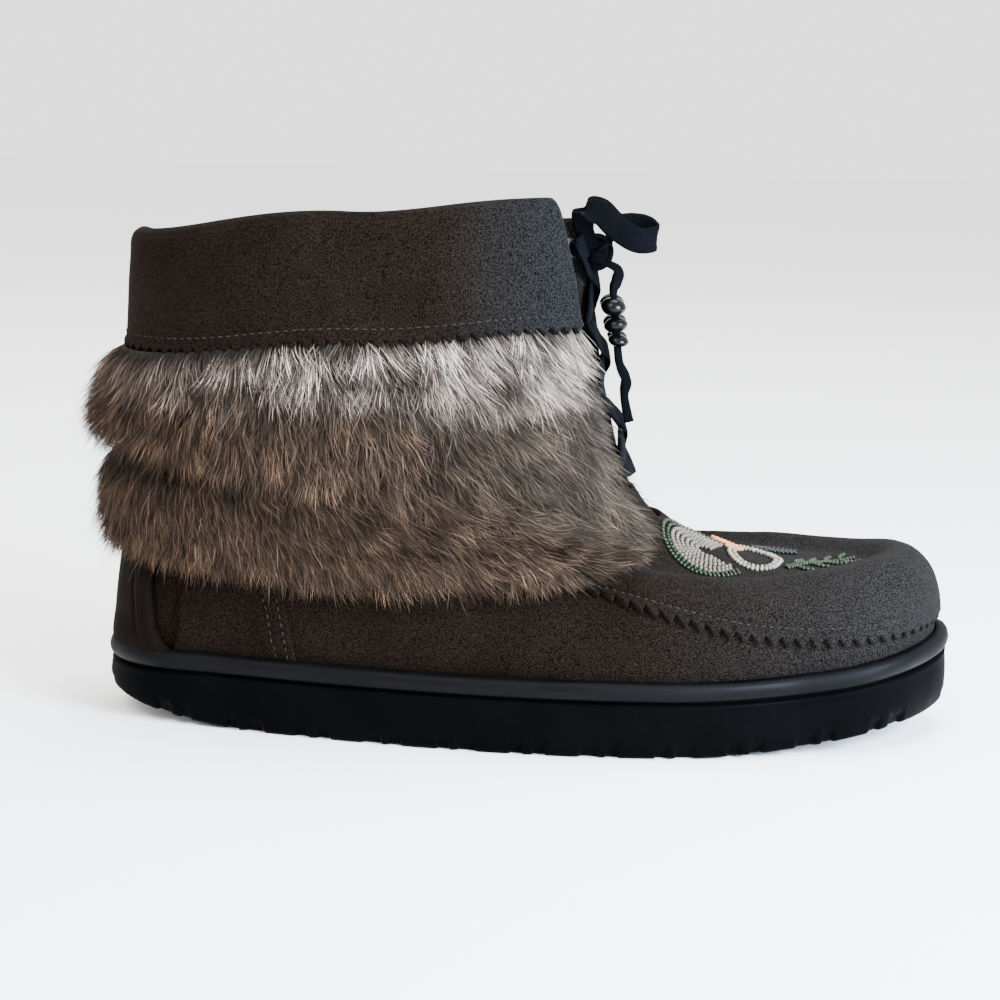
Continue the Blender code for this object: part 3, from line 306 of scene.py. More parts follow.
# Sole: insets from its outline, shares of a notch's cut and heights over the tread, the band and the rim
TREAD_EDGE = ((0.0042, 1.0, 0.0), (0.0017, 1.0, 0.0003), (0.0008, 1.0, 0.0012), (0.0006, 0.9, 0.0026))
SIDE_ROWS = 7
SIDE_SWELL = 0.0006         # how far the side wall swells out between tread and band
BAND_LOW = (
    (0.0003, -0.0014), (0.0002 + GROOVE_DEPTH * 0.6, -0.0009), (0.0002 + GROOVE_DEPTH, -0.0004),
    (0.0002 + GROOVE_DEPTH * 0.9, 0.0001), (0.0007, 0.0003), (0.0001, 0.0008), (-0.0004, 0.0020),
)
BAND_HIGH = (
    (-0.0005, -0.0030), (-0.0001, -0.0014), (0.0006, -0.0004), (0.0016, 0.0), (CUP_WALL - 0.0006, 0.0001),
)
BOX_FACES = ((0, 3, 2, 1), (4, 5, 6, 7), (0, 1, 5, 4), (1, 2, 6, 5), (2, 3, 7, 6), (3, 0, 4, 7))
TREAD_FILL_START = SPRING_START + 0.055
TREAD_FILL = 0.0032         # how much lower the tread is at the toe tip than in the CAD part
HEEL_LIFT = 0.0020          # how much higher the tread is at the back than in the CAD part
HEEL_SWELL = 0.0009         # how much further the back of the sole stands out
NOTCH_CUT = 0.0016
NOTCH_COLUMNS = (-1.25, -1.0, -0.8, 0.0, 0.8, 1.0, 1.25)     # in half widths from a notch's middle
NOTCH_RISE = 0.0052
BAND_FIRST_ROW = 14
BUMPER_PACE = 0.26          # metres round the heel for a whole turn
BUMPER_BORDER_WIDTH = 0.0036

# Glass seed beads
SEED_SIZE = 0.0016
SEED_PITCH = 0.0015
SEED_STEP = 0.00165         # between neighbouring rows
SHELL_COLOURS = (
    ("green",), ("black", "green"), ("silver",), ("silver", "rose"), ("rose",), ("silver",),
    ("rose", "silver"), ("silver",),
)
SPRIG_STEM = ((0.1650, -0.0165), (0.1730, -0.0085), (0.1815, -0.0015), (0.1900, 0.0045))
SPRIG_LEAVES = ((0.1680, -0.0130), (0.1735, -0.0080), (0.1790, -0.0035), (0.1845, 0.0008))
SEED_COLOURS = {
    "black": ((0.004, 0.005, 0.005), 0.22),
    "green": ((0.009, 0.016, 0.006), 0.20),
    "silver": ((0.085, 0.078, 0.060), 0.26),
    "cream": ((0.16, 0.145, 0.11), 0.28),
    "peach": ((0.45, 0.14, 0.05), 0.28),
    "rose": ((0.10, 0.075, 0.060), 0.28),
}


def unit(vectors):
    """Vectors made 1 long."""
    return vectors / np.linalg.norm(vectors, axis=-1, keepdims=True)


def smooth(knots, values, at):
    """A smooth curve through the given values, without overshoot (monotone cubic)."""
    knots = np.asarray(knots, float)
    values = np.asarray(values, float)
    steps = np.diff(knots)
    slopes = np.diff(values) / steps
    tangents = np.zeros(len(knots))
    tangents[0] = slopes[0]
    tangents[-1] = slopes[-1]
    for i in range(1, len(knots) - 1):
        if slopes[i - 1] * slopes[i] > 0:
            ahead = 2 * steps[i] + steps[i - 1]
            behind = steps[i] + 2 * steps[i - 1]
            tangents[i] = (ahead + behind) / (ahead / slopes[i - 1] + behind / slopes[i])
    at = min(max(at, knots[0]), knots[-1])
    i = min(int(np.searchsorted(knots, at, side="right")) - 1, len(knots) - 2)
    t = (at - knots[i]) / steps[i]
    return (
        values[i] * (1 + 2 * t) * (1 - t) ** 2
        + tangents[i] * steps[i] * t * (1 - t) ** 2
        + values[i + 1] * t * t * (3 - 2 * t)
        + tangents[i + 1] * steps[i] * t * t * (t - 1)
    )


def ease(value):
    """0 below 0, 1 above 1, smooth between."""
    value = min(max(value, 0.0), 1.0)
    return value * value * (3 - 2 * value)


def footprint(turn, grow_round=0.0):
    """Share of the length, and of the half width, at a share of a turn from the heel by the medial side."""
    angle = 2 * math.pi * turn
    length = (1 - math.cos(angle)) / 2
    knots, lateral, medial = zip(*WIDTHS)
    factor = smooth(knots, medial if math.sin(angle) >= 0 else lateral, length)
    factor = factor + (1 - factor) * grow_round
    return length, math.sin(angle) * factor


def sole_outline(turn, inset=0.0):
    """The sole's outline in plan, moved inwards by inset."""
    def point(at):
        length, wide = footprint(at)
        half = MEDIAL_HALF if wide >= 0 else LATERAL_HALF
        return np.array((HEEL_BACK + SOLE_LENGTH * length, wide * half + TOE_SWING * length ** 3))

    step = 0.002
    along = unit(point(turn + step) - point(turn - step))
    return point(turn) + inset * np.array((along[1], -along[0]))


def rise(x, start, end, amount):
    """A quadratic rise from start to end, along X."""
    share = min(max((x - start) / (end - start), 0.0), 1.3)
    return amount * share * share


def tread_height(x):
    """The CAD tread's lowest height at X."""
    return rise(x, SPRING_START, TOE_TIP, TREAD_SPRING) + rise(-x, -BEVEL_START, HEEL_REACH, HEEL_BEVEL)


def rim_height(x):
    """The rim's height at X."""
    return RIM_HEIGHT + rise(x, SPRING_START, TOE_TIP, RIM_SPRING)


def ring_point(turn, ring):
    """A point of one ring of the upper's outside, above the rim."""
    row = dict(zip(RING_NAMES, ring))
    foot_inset = CUP_WALL + GAP
    back = (HEEL_BACK + foot_inset) * (1 - row["reach"]) + SHAFT_BACK * row["reach"]
    front = (TOE_TIP - foot_inset) * (1 - row["front"]) + SHAFT_FRONT * row["front"]
    length, wide = footprint(turn, row["round"])
    medial = (MEDIAL_HALF - foot_inset) * (1 - row["medial"]) + SHAFT_HALF * row["medial"]
    lateral = (LATERAL_HALF - foot_inset) * (1 - row["lateral"]) + SHAFT_HALF * row["lateral"]
    x = back + (front - back) * length
    y = wide * (medial if wide >= 0 else lateral) + TOE_SWING * length ** 3 * (1 - row["front"])
    if length < 0.5:
        share = row["z_side"] + (row["z_back"] - row["z_side"]) * ease(1 - 2 * length)
    else:
        share = row["z_front"] + (row["z_side"] - row["z_front"]) * ease(2 - 2 * length) ** 1.5
    z = RIM_HEIGHT + (BOOT_HEIGHT - RIM_HEIGHT) * share
    z += (rim_height(x) - RIM_HEIGHT) * row["spring"] + TRAY_TILT * row["tilt"] * y * ease(2 * length - 0.8)
    return np.array((x, y, z))


def upper_rows(turn):
    """The upper's outside from the sole's floor to the collar at a share of a turn, a point a level."""
    x, y = sole_outline(turn, CUP_WALL + GAP)
    low = np.array((x, y, SOLE_FLOOR + tread_height(x) + GAP))
    rim = np.array((x, y, rim_height(x) - GAP))
    return [low, rim] + [ring_point(turn, ring) for ring in RINGS]


def slit_turn(width):
    """Half of a width across the shaft's front, as a share of a turn."""
    return math.asin(width / 2 / SHAFT_HALF) / (2 * math.pi)


def plug_edge(turn):
    """Level of the overlay's lower edge."""
    return smooth(PLUG_AWAY, PLUG_EDGE, abs(turn - 0.5))


SLIT = slit_turn(SLIT_WIDTH)
FINE = 960                  # columns of the table that the smooth surface is read from
GRID = np.array([upper_rows(i / FINE) for i in range(FINE)])


def between(before, low, high, after, t):
    """A point of the smooth curve from low to high, with the points before and after them."""
    return 0.5 * (
        2 * low + (high - before) * t
        + (2 * before - 5 * low + 4 * high - after) * t ** 2
        + (3 * low - before - 3 * high + after) * t ** 3
    )


def curve(turns, levels):
    """Points of the upper's smooth outside at arrays of turns and levels."""
    turns, levels = np.broadcast_arrays(np.asarray(turns, float), np.asarray(levels, float))
    at = (turns % 1.0) * FINE
    i = np.floor(at).astype(int) % FINE
    share = (at - np.floor(at))[..., None]
    j = np.clip(levels.astype(int), 0, TOP_LEVEL - 1)
    t = (levels - j)[..., None]

    def row(k):
        return GRID[i, k] * (1 - share) + GRID[(i + 1) % FINE, k] * share

    low, high = row(j), row(j + 1)
    before = np.where((j > 1)[..., None], row(np.maximum(j - 1, 0)), low)
    return between(before, low, high, row(np.minimum(j + 2, TOP_LEVEL)), t)


def normals(turns, levels):
    """Outward directions of the upper's outside."""
    levels = np.clip(levels, 0.15, TOP_LEVEL - 0.15)
    around = curve(turns + 0.004, levels) - curve(turns - 0.004, levels)
    upward = curve(turns, levels + 0.1) - curve(turns, levels - 0.1)
    return unit(np.cross(upward, around))


def place(turns, levels, out):
    """Points off the upper's outside, moved outwards."""
    return curve(turns, levels) + np.asarray(out, float)[..., None] * normals(turns, levels)


LADDER = np.linspace(8, TOP_LEVEL, 141)


def level_of(turns, heights):
    """Levels of the shaft at arrays of turns and heights of the same shape."""
    turns, heights = np.broadcast_arrays(np.asarray(turns, float), np.asarray(heights, float))
    found = np.empty(turns.size)
    for n, (turn, height) in enumerate(zip(turns.ravel(), heights.ravel())):
        found[n] = np.interp(height, curve(np.full(LADDER.shape, turn), LADDER)[:, 2], LADDER)
    return found.reshape(turns.shape)


def add_object(name, data):
    """An object in the scene."""
    item = bpy.data.objects.new(name, data)
    bpy.context.scene.collection.objects.link(item)
    return item


def add_mesh(name, points, faces, material):
    """An object from points and lists of faces: arrays of quads and of triangles."""
    mesh = bpy.data.meshes.new(name)
    points = np.asarray(points, np.float32).reshape(-1, 3)
    faces = [np.asarray(part, np.int32) for part in faces if len(part)]
    corners = np.concatenate([part.ravel() for part in faces])
    sizes = np.concatenate([np.full(len(part), part.shape[1], np.int32) for part in faces])
    mesh.vertices.add(len(points))
    mesh.vertices.foreach_set("co", points.ravel())
    mesh.loops.add(len(corners))
    mesh.loops.foreach_set("vertex_index", corners)
    mesh.polygons.add(len(sizes))
    mesh.polygons.foreach_set("loop_start", np.concatenate(([0], np.cumsum(sizes)[:-1])).astype(np.int32))
    mesh.polygons.foreach_set("use_smooth", np.ones(len(sizes), bool))
    mesh.update(calc_edges=True)
    mesh.validate()
    mesh.materials.append(material)
    return add_object(name, mesh)


def grid_quads(rows, columns, around=True):
    """Faces between neighbouring points of a grid, which may close from its last column to its first."""
    j, i = np.meshgrid(np.arange(rows - 1), np.arange(columns - (not around)), indexing="ij")
    k = (i + 1) % columns
    return np.stack((j * columns + i, (j + 1) * columns + i, (j + 1) * columns + k, j * columns + k), -1)


def turned_quads(rows, columns):
    """The same faces round a closed grid, facing the other way."""
    return grid_quads(rows, columns)[..., (0, 3, 2, 1)].reshape(-1, 4)


def set_slots(piece, faces):
    """Gives the faces at the given indices the second material."""
    slots = np.zeros(len(piece.data.polygons), np.int32)
    slots[faces] = 1
    piece.data.polygons.foreach_set("material_index", slots)


def shell(name, outer, inner, material, around=False, keep=None, lining=None):
    """A closed wall between two grids of points, rows by columns."""
    rows, columns = outer.shape[:2]
    quads = grid_quads(rows, columns, around)
    quads = quads.reshape(-1, 4) if keep is None else quads[keep]
    total = rows * columns
    edges = np.stack((quads, np.roll(quads, -1, axis=1)), -1).reshape(-1, 2)
    free = edges[~np.isin(edges[:, 0] * total + edges[:, 1], edges[:, 1] * total + edges[:, 0])]
    rim = np.stack((free[:, 1], free[:, 0], free[:, 0] + total, free[:, 1] + total), -1)
    points = np.concatenate((outer.reshape(-1, 3), inner.reshape(-1, 3)))
    piece = add_mesh(name, points, [quads, quads[:, ::-1] + total, rim], material)
    if lining is not None:
        piece.data.materials.append(lining)
        set_slots(piece, np.arange(len(quads), 2 * len(quads)))
    return piece


def waves(points, scale, seed):
    """Soft repeatable noise between about -1 and 1 at points, with features of the given size in metres."""
    rng = np.random.default_rng(seed)
    total = np.zeros(points.shape[:-1])
    for _ in range(7):
        heading = rng.normal(size=3)
        heading *= rng.uniform(0.6, 1.5) * 2 * math.pi / scale / np.linalg.norm(heading)
        total += np.sin(points @ heading + rng.uniform(0, 2 * math.pi))
    return total / 3.2


def dents(points, table):
    """Sum of soft dents and swells: each has a centre, three radii and a height, in metres."""
    total = np.zeros(points.shape[:-1])
    for centre, radii, height in table:
        total += height * np.exp(-(((points - centre) / radii) ** 2).sum(-1))
    return total


def make_nodes(name):
    """A new material with its tree and its shader."""
    material = bpy.data.materials.new(name)
    material.use_nodes = True
    tree = material.node_tree
    return material, tree, tree.nodes["Principled BSDF"]


def noise(tree, scale, detail=4.0, roughness=0.55):
    """A noise in the object's own coordinates, in features per metre."""
    place_node = tree.nodes.new("ShaderNodeTexCoord")
    texture = tree.nodes.new("ShaderNodeTexNoise")
    texture.inputs["Scale"].default_value = scale
    texture.inputs["Detail"].default_value = detail
    texture.inputs["Roughness"].default_value = roughness
    tree.links.new(place_node.outputs["Object"], texture.inputs["Vector"])
    return texture.outputs["Fac"]


def ramp(tree, value, stops):
    """A value turned into a colour by two stops of place and colour."""
    node = tree.nodes.new("ShaderNodeValToRGB")
    for element, (at, colour) in zip(node.color_ramp.elements, stops):
        element.position = at
        element.color = (*colour, 1.0)
    tree.links.new(value, node.inputs["Fac"])
    return node.outputs["Color"]


def blend_colours(tree, factor, a, b, mode="MIX"):
    """Two colours blended: the factor and the colours are sockets or plain values."""
    node = tree.nodes.new("ShaderNodeMix")
    node.data_type = "RGBA"
    node.blend_type = mode
    for value, socket in ((factor, node.inputs["Factor"]), (a, node.inputs["A"]), (b, node.inputs["B"])):
        if isinstance(value, bpy.types.NodeSocket):
            tree.links.new(value, socket)
        elif isinstance(value, tuple):
            socket.default_value = (*value, 1.0)
        else:
            socket.default_value = value
    return next(output for output in node.outputs if output.type == "RGBA")


def bump(tree, shader, layers):
    """Chains bumps: each layer is a height, its strength and its depth in metres."""
    before = None
    for height, strength, depth in layers:
        node = tree.nodes.new("ShaderNodeBump")
        node.inputs["Strength"].default_value = strength
        node.inputs["Distance"].default_value = depth
        tree.links.new(height, node.inputs["Height"])
        if before is not None:
            tree.links.new(before, node.inputs["Normal"])
        before = node.outputs["Normal"]
    tree.links.new(before, shader.inputs["Normal"])


def finish(shader, roughness=None, specular=None, sheen=None):
    """Sets a shader's plain values: the sheen is its weight, or weight, roughness and tint."""
    if roughness is not None:
        shader.inputs["Roughness"].default_value = roughness
    if specular is not None:
        shader.inputs["Specular IOR Level"].default_value = specular
    for socket, value in zip(("Sheen Weight", "Sheen Roughness", "Sheen Tint"), sheen or ()):
        shader.inputs[socket].default_value = value


def suede(name, dark, light, front, reach):
    """Brushed suede: mottled, with a short grain and a sheen, and painted light: paler and cooler towards
    the front.
    """
    material, tree, shader = make_nodes(name)
    ground = ramp(tree, noise(tree, 30, 3), ((0.32, dark), (0.72, light)))
    parts = tree.nodes.new("ShaderNodeSeparateXYZ")
    tree.links.new(tree.nodes.new("ShaderNodeTexCoord").outputs["Object"], parts.inputs["Vector"])
    # Painted light: along X the colour turns to the paler, cooler front colour of the lit side.
    painted_light_share = ramp(tree, parts.outputs["X"], ((reach[0], (0.0, 0.0, 0.0)), (reach[1], (1.0, 1.0, 1.0))))
    ground = blend_colours(tree, painted_light_share, ground, front)
    grain = ramp(tree, noise(tree, 2150, 2, 0.6), ((0.39, (0.16, 0.16, 0.16)), (0.62, (2.4, 2.36, 2.30))))
    tree.links.new(blend_colours(tree, 1.0, ground, grain, "MULTIPLY"), shader.inputs["Base Color"])
    finish(shader, 0.92, 0.012, (0.020, 0.45, (0.62, 0.60, 0.58, 1.0)))
    bump(tree, shader, ((noise(tree, 2150, 2, 0.6), 0.85, 0.0005), (noise(tree, 260, 3), 0.10, 0.0006)))
    return material


def mottle(tree, shader, texture, stops, colour, lift):
    """A base colour that changes softly to a paler one."""
    paler = tuple(min(1.0, lift * part) for part in colour)
    tree.links.new(ramp(tree, texture, zip(stops, (colour, paler))), shader.inputs["Base Color"])


def cloud(tree, shader, texture, stops, values):
    """A roughness that changes softly between two values."""
    greys = [(value,) * 3 for value in values]
    tree.links.new(ramp(tree, texture, zip(stops, greys)), shader.inputs["Roughness"])


def rubber(name, colour, roughness, specular):
    """Black rubber with a broad change of gloss and faint scuffs."""
    material, tree, shader = make_nodes(name)
    mottle(tree, shader, noise(tree, 60, 3), (0.35, 0.75), colour, 1.6)
    cloud(tree, shader, noise(tree, 38, 2, 0.4), (0.40, 0.62), (roughness, roughness + 0.22))
    finish(shader, specular=specular)
    bump(tree, shader, ((noise(tree, 900, 2), 0.10, 0.0002), (noise(tree, 90, 2), 0.12, 0.0006)))
    return material


def fleece(name, dark, light):
    """Short curly pile."""
    material, tree, shader = make_nodes(name)
    shade = ramp(tree, noise(tree, 420, 5, 0.7), ((0.30, dark), (0.70, light)))
    tree.links.new(shade, shader.inputs["Base Color"])
    finish(shader, 0.95, 0.1, (0.03,))
    bump(tree, shader, ((noise(tree, 420, 5, 0.7), 1.0, 0.0012),))
    return material


def ribbon_velvet(name, colour):
    """Black velvet ribbon: a fine nap and a soft sheen."""
    material, tree, shader = make_nodes(name)
    mottle(tree, shader, noise(tree, 900, 3), (0.30, 0.75), colour, 2.4)
    finish(shader, 0.8, 0.02, (0.012, 0.4, (0.45, 0.52, 0.68, 1.0)))
    bump(tree, shader, ((noise(tree, 2200, 2, 0.7), 0.5, 0.0003),))
    return material


def hair_fibre(name):
    """Fur hair, coloured by the tint that each hair carries from root to tip."""
    material, tree, shader = make_nodes(name)
    tint = tree.nodes.new("ShaderNodeVertexColor")
    tint.layer_name = "tint"
    strands = ramp(tree, noise(tree, 700, 3), ((0.25, (0.80, 0.80, 0.80)), (0.75, (1.15, 1.14, 1.12))))
    colour = blend_colours(tree, 1.0, tint.outputs["Color"], strands, "MULTIPLY")
    tree.links.new(colour, shader.inputs["Base Color"])
    finish(shader, 0.50, 0.07, (0.02,))
    return material


def gloss(name, colour, roughness, specular=0.5, metallic=0.0):
    """Glass and metal: a faint cloudiness in colour and gloss."""
    material, tree, shader = make_nodes(name)
    mottle(tree, shader, noise(tree, 500, 2), (0.30, 0.75), colour, 1.5)
    cloud(tree, shader, noise(tree, 350, 2), (0.35, 0.70), (roughness, roughness * 1.5))
    finish(shader, specular=specular)
    shader.inputs["Metallic"].default_value = metallic
    bump(tree, shader, ((noise(tree, 1200, 2), 0.05, 0.0001),))
    return material


# The front colours and their reach along X are painted light, for the cool lamp on the toe and the cuff's
# front.
SUEDE_FOOT = suede(
    "suede_foot", dark=(0.0032, 0.0020, 0.0012), light=(0.0046, 0.0031, 0.0021),
    front=(0.0066, 0.0060, 0.0057), reach=(0.105, 0.195),
)
SUEDE_CUFF = suede(
    "suede_cuff", dark=(0.0034, 0.0021, 0.0013), light=(0.0050, 0.0033, 0.0023),
    front=(0.0052, 0.0054, 0.0056), reach=(0.045, 0.085),
)
RUBBER = rubber("rubber", (0.0006, 0.0006, 0.0007), 0.42, 0.010)
RUBBER_BAND = rubber("rubber_band", (0.0010, 0.0009, 0.0012), 0.42, 0.055)
BUMPER_RUBBER = rubber("bumper_rubber", (0.0026, 0.0016, 0.0011), 0.62, 0.02)
LINING = fleece("lining", (0.05, 0.043, 0.036), (0.15, 0.135, 0.115))
RIBBON = ribbon_velvet("ribbon", (0.0006, 0.0007, 0.0011))
HAIR = hair_fibre("hair")
HIDE = fleece("hide", (0.004, 0.003, 0.0025), (0.012, 0.010, 0.008))
BLACK_GLASS = gloss("black_glass", (0.0010, 0.0011, 0.0015), 0.16, 0.12)
METAL = gloss("eyelet_metal", (0.05, 0.05, 0.055), 0.30, 0.5, 1.0)
THREAD = ribbon_velvet("thread", (0.009, 0.0085, 0.0085))


def make_camera():
    """The photo's camera: turned, pitched down and rolled."""
    yaw, pitch, roll = (math.radians(angle) for angle in CAMERA_ANGLES)
    ahead = Vector((-math.sin(yaw) * math.cos(pitch), math.cos(yaw) * math.cos(pitch), -math.sin(pitch)))
    right = Vector((math.cos(yaw), math.sin(yaw), 0.0))
    up = right.cross(ahead)
    rolled_right = right * math.cos(roll) + up * math.sin(roll)
    rolled_up = up * math.cos(roll) - right * math.sin(roll)
    data = bpy.data.cameras.new("camera")
    data.sensor_width = CAMERA_SENSOR
    data.lens = CAMERA_LENS
    camera = add_object("camera", data)
    axes = Matrix((rolled_right, rolled_up, -ahead)).transposed().to_4x4()
    camera.matrix_world = Matrix.Translation(CAMERA_PLACE) @ axes
    bpy.context.scene.camera = camera


def make_stage():
    """A pale floor, a white surround and large soft lights."""
    mesh = bpy.data.meshes.new("floor")
    corners = [(x * FLOOR_HALF, y * FLOOR_HALF, 0) for x, y in ((-1, -1), (1, -1), (1, 1), (-1, 1))]
    mesh.from_pydata(corners, [], [(0, 1, 2, 3)])
    material, _, shader = make_nodes("floor")
    shader.inputs["Base Color"].default_value = FLOOR_COLOUR
    finish(shader, 0.9)
    mesh.materials.append(material)
    add_object("floor", mesh)
    world = bpy.data.worlds.new("studio")
    world.use_nodes = True
    world.node_tree.nodes["Background"].inputs["Color"].default_value = (1.0, 1.0, 1.0, 1.0)
    world.node_tree.nodes["Background"].inputs["Strength"].default_value = WORLD_LIGHT
    bpy.context.scene.world = world
    for name, location, target, size, power, tint in LIGHTS:
        data = bpy.data.lights.new(name, "AREA")
        data.shape = "DISK"
        data.size = size
        data.energy = power
        data.color = tint
        light = add_object(name, data)
        light.location = location
        light.rotation_euler = (Vector(target) - Vector(location)).to_track_quat("-Z", "Y").to_euler()


def spline(points, steps):
    """A smooth curve through points, with the given number of steps between each two."""
    points = np.asarray(points, float)
    dense = []
    for i in range(len(points) - 1):
        before, after = points[max(i - 1, 0)], points[min(i + 2, len(points) - 1)]
        for step in range(steps):
            dense.append(between(before, points[i], points[i + 1], after, step / steps))
    dense.append(points[-1])
    return np.array(dense)


def tube(rings):
    """Points, quads and triangles of a tube through rings of points, closed by a fan at each end."""
    count, sides = rings.shape[:2]
    fan = np.arange(1, sides - 1)
    low = np.stack((np.zeros_like(fan), fan + 1, fan), -1)
    high = low[:, (0, 2, 1)] + (count - 1) * sides
    return rings.reshape(-1, 3), turned_quads(count, sides), np.concatenate((low, high))


def turned(profile, sides):
    """Rings of points round the Z axis, from a profile of (radius, height)."""
    angle = 2 * math.pi * np.arange(sides) / sides
    radii, heights = profile[:, :1], profile[:, 1:]
    return np.stack((radii * np.cos(angle), radii * np.sin(angle), np.repeat(heights, sides, 1)), -1)


def ball(rings):
    """The profile of a ball of radius 1 for a lathe, from pole to pole."""
    angles = np.linspace(-math.pi / 2, math.pi / 2, rings)
    profile = np.stack((np.cos(angles), np.sin(angles)), -1)
    profile[0, 0] = profile[-1, 0] = 0.0
    return profile


def strap(line, across, widths, wall, sides=10):
    """Points and faces of a flat ribbon along a line, with the direction of its width at each point."""
    along = unit(np.gradient(line, axis=0))
    across = unit(across - (across * along).sum(1, keepdims=True) * along)
    lift = np.cross(along, across)
    angle = 2 * math.pi * (np.arange(sides) + 0.5) / sides
    wide = np.sign(np.cos(angle)) * np.abs(np.cos(angle)) ** 0.55
    high = np.sign(np.sin(angle)) * np.abs(np.sin(angle)) ** 0.75
    widths = np.broadcast_to(widths, len(line))
    return tube(
        line[:, None] + across[:, None] * (wide * 0.5)[None, :, None] * widths[:, None, None]
        + lift[:, None] * (high * wall * 0.5)[None, :, None]
    )


def join(parts):
    """Points, quads and triangles of several parts as one."""
    points, quads, triangles, start = [], [], [], 0
    for part_points, part_quads, part_triangles in parts:
        points.append(part_points)
        quads.append(np.asarray(part_quads).reshape(-1, 4) + start)
        triangles.append(np.asarray(part_triangles).reshape(-1, 3) + start)
        start += len(part_points)
    return np.concatenate(points), [np.concatenate(quads), np.concatenate(triangles)]


def lathe(profile, sides):
    """Points, quads and triangles of a closed turned form, from a profile of (radius, height)."""
    points = turned(profile[1:-1], sides).reshape(-1, 3)
    count = len(profile) - 2
    points = np.concatenate((points, [(0, 0, profile[0, 1])], [(0, 0, profile[-1, 1])]))
    i = np.arange(sides)
    k = (i + 1) % sides
    pole = np.full(sides, count * sides)
    top = (count - 1) * sides
    poles = np.concatenate((np.stack((pole, k, i), -1), np.stack((pole + 1, top + i, top + k), -1)))
    return points, turned_quads(count, sides), poles


def frame_of(direction, up=(0.0, 0.0, 1.0)):
    """A rotation whose third axis is the direction."""
    third = unit(np.asarray(direction, float))
    first = unit(np.cross(up, third))
    return np.stack((first, np.cross(third, first), third), -1)


def knot_centre():
    """The knot's centre in the CAD part."""
    turn, height = np.array([0.5]), np.array([KNOT_HEIGHT])
    return place(turn, level_of(turn, height), KNOT_OUT)[0]


def ride(piece, *nodes):
    """Rides with the boot's one body, and stands for the CAD nodes named."""
    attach(piece, "root")
    if nodes:
        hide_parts(*nodes)
    return piece


def rotation(degrees, axis):
    """A turn about one axis, as a matrix."""
    return np.array(Matrix.Rotation(math.radians(degrees), 3, axis))


def make_beads(name, side, top):
    """Three lens-shaped glass beads on a lace end, under each other."""
    beads = []
    for i, (width, height) in enumerate(zip(BEAD_WIDTHS, BEAD_HEIGHTS)):
        angles = np.linspace(-math.pi / 2, math.pi / 2, 17)
        radii = width / 2 * np.cos(angles) ** 0.85
        heights = height / 2 * np.sign(np.sin(angles)) * np.abs(np.sin(angles)) ** 1.25
        radii[0] = radii[-1] = 0.0
        points, quads, triangles = lathe(np.stack((radii, heights), -1), 32)
        lean = rotation(BEAD_LEAN[i] * side, "X") @ rotation(BEAD_PITCH[i], "Y")
        points = points @ lean.T + (top[0] + BEAD_STEP * i, top[1], top[2] - height / 2)
        bead = add_mesh(f"glass_bead_{name}_{i + 1}", points, [quads, triangles], BLACK_GLASS)
        beads.append(ride(bead, f"bead_{name}_{i + 1}"))
        top = top - np.array((0.0, 0.0, height + BEAD_GAP))
    return beads, top


def make_free_lace():
    """Each half of the bow as one ribbon: knot, loop, knot, end with beads, tail."""
    knot = knot_centre()
    for side, name in ((1, "near"), (-1, "far")):
        mirror = np.array((1.0, side, 1.0))
        fall = [knot + np.array(point) * mirror for point in LACE_FALL]
        top = fall[-1] - np.array((0.0, 0.0, BEAD_GAP))
        beads, under = make_beads(name, side, top)
        loop = [knot - (KNOT_BACK, 0, 0) + np.array(point) * mirror for point in BOW]
        tail = [under + np.array(point) * mirror for point in LACE_TAIL]
        line = spline(loop + fall + tail, LACE_STEPS)
        at = np.arange(len(line)) / LACE_STEPS
        across = read_line(at, range(len(BOW_ACROSS)), np.array(BOW_ACROSS)) * mirror
        widths = np.interp(at, *zip(*LACE_WIDTHS)) * LACE_WIDTH
        ribbon = add_mesh(f"lace_{name}", *join([strap(line, across, widths, LACE_WALL)]), RIBBON)
        ride(ribbon, f"lace_loop_{name}", f"lace_end_{name}", f"lace_tail_{name}")


def ring_line(centre, first, second, steps):
    """An ellipse round a centre, from two half axes, closed but for a small overlap."""
    angle = np.linspace(0, 2 * math.pi * 1.02, steps)[:, None]
    return centre + np.cos(angle) * np.asarray(first) + np.sin(angle) * np.asarray(second)


def make_knot():
    """The knot: crossed wraps of ribbon round a soft core."""
    knot = knot_centre() - (KNOT_BACK, 0, 0)
    points, quads, triangles = lathe(ball(13), 24)
    half = np.array(KNOT_SIZE) / 2
    parts = [(points * half * 0.86 + knot, quads, triangles)]
    for tilt, lean, width in KNOT_WRAPS:
        turn = rotation(tilt, "X") @ rotation(lean, "Z")
        line = ring_line(knot, turn @ (half[0] * 0.93, 0, 0), turn @ (0, 0, half[2] * 0.95), WRAP_STEPS)
        parts.append(strap(line, np.repeat([turn[:, 1]], WRAP_STEPS, 0), width, LACE_WALL))
    ride(add_mesh("ribbon_knot", *join(parts), RIBBON), "lace_knot")


def eyelet_place(row, side):
    """Centre and outward direction of an eyelet."""
    turn = np.array([0.5 + side * slit_turn(SLIT_WIDTH + 2 * EYELET_EDGE)])
    low = curve(turn, SLIT_LEVEL + 0.55)[0, 2]
    high = curve(turn, TOP_LEVEL)[0, 2] - 4 * EYELET_OUTER
    level = level_of(turn, np.array([low + (high - low) * row / (EYELET_ROWS - 1)]))
    return curve(turn, level)[0], normals(turn, level)[0]


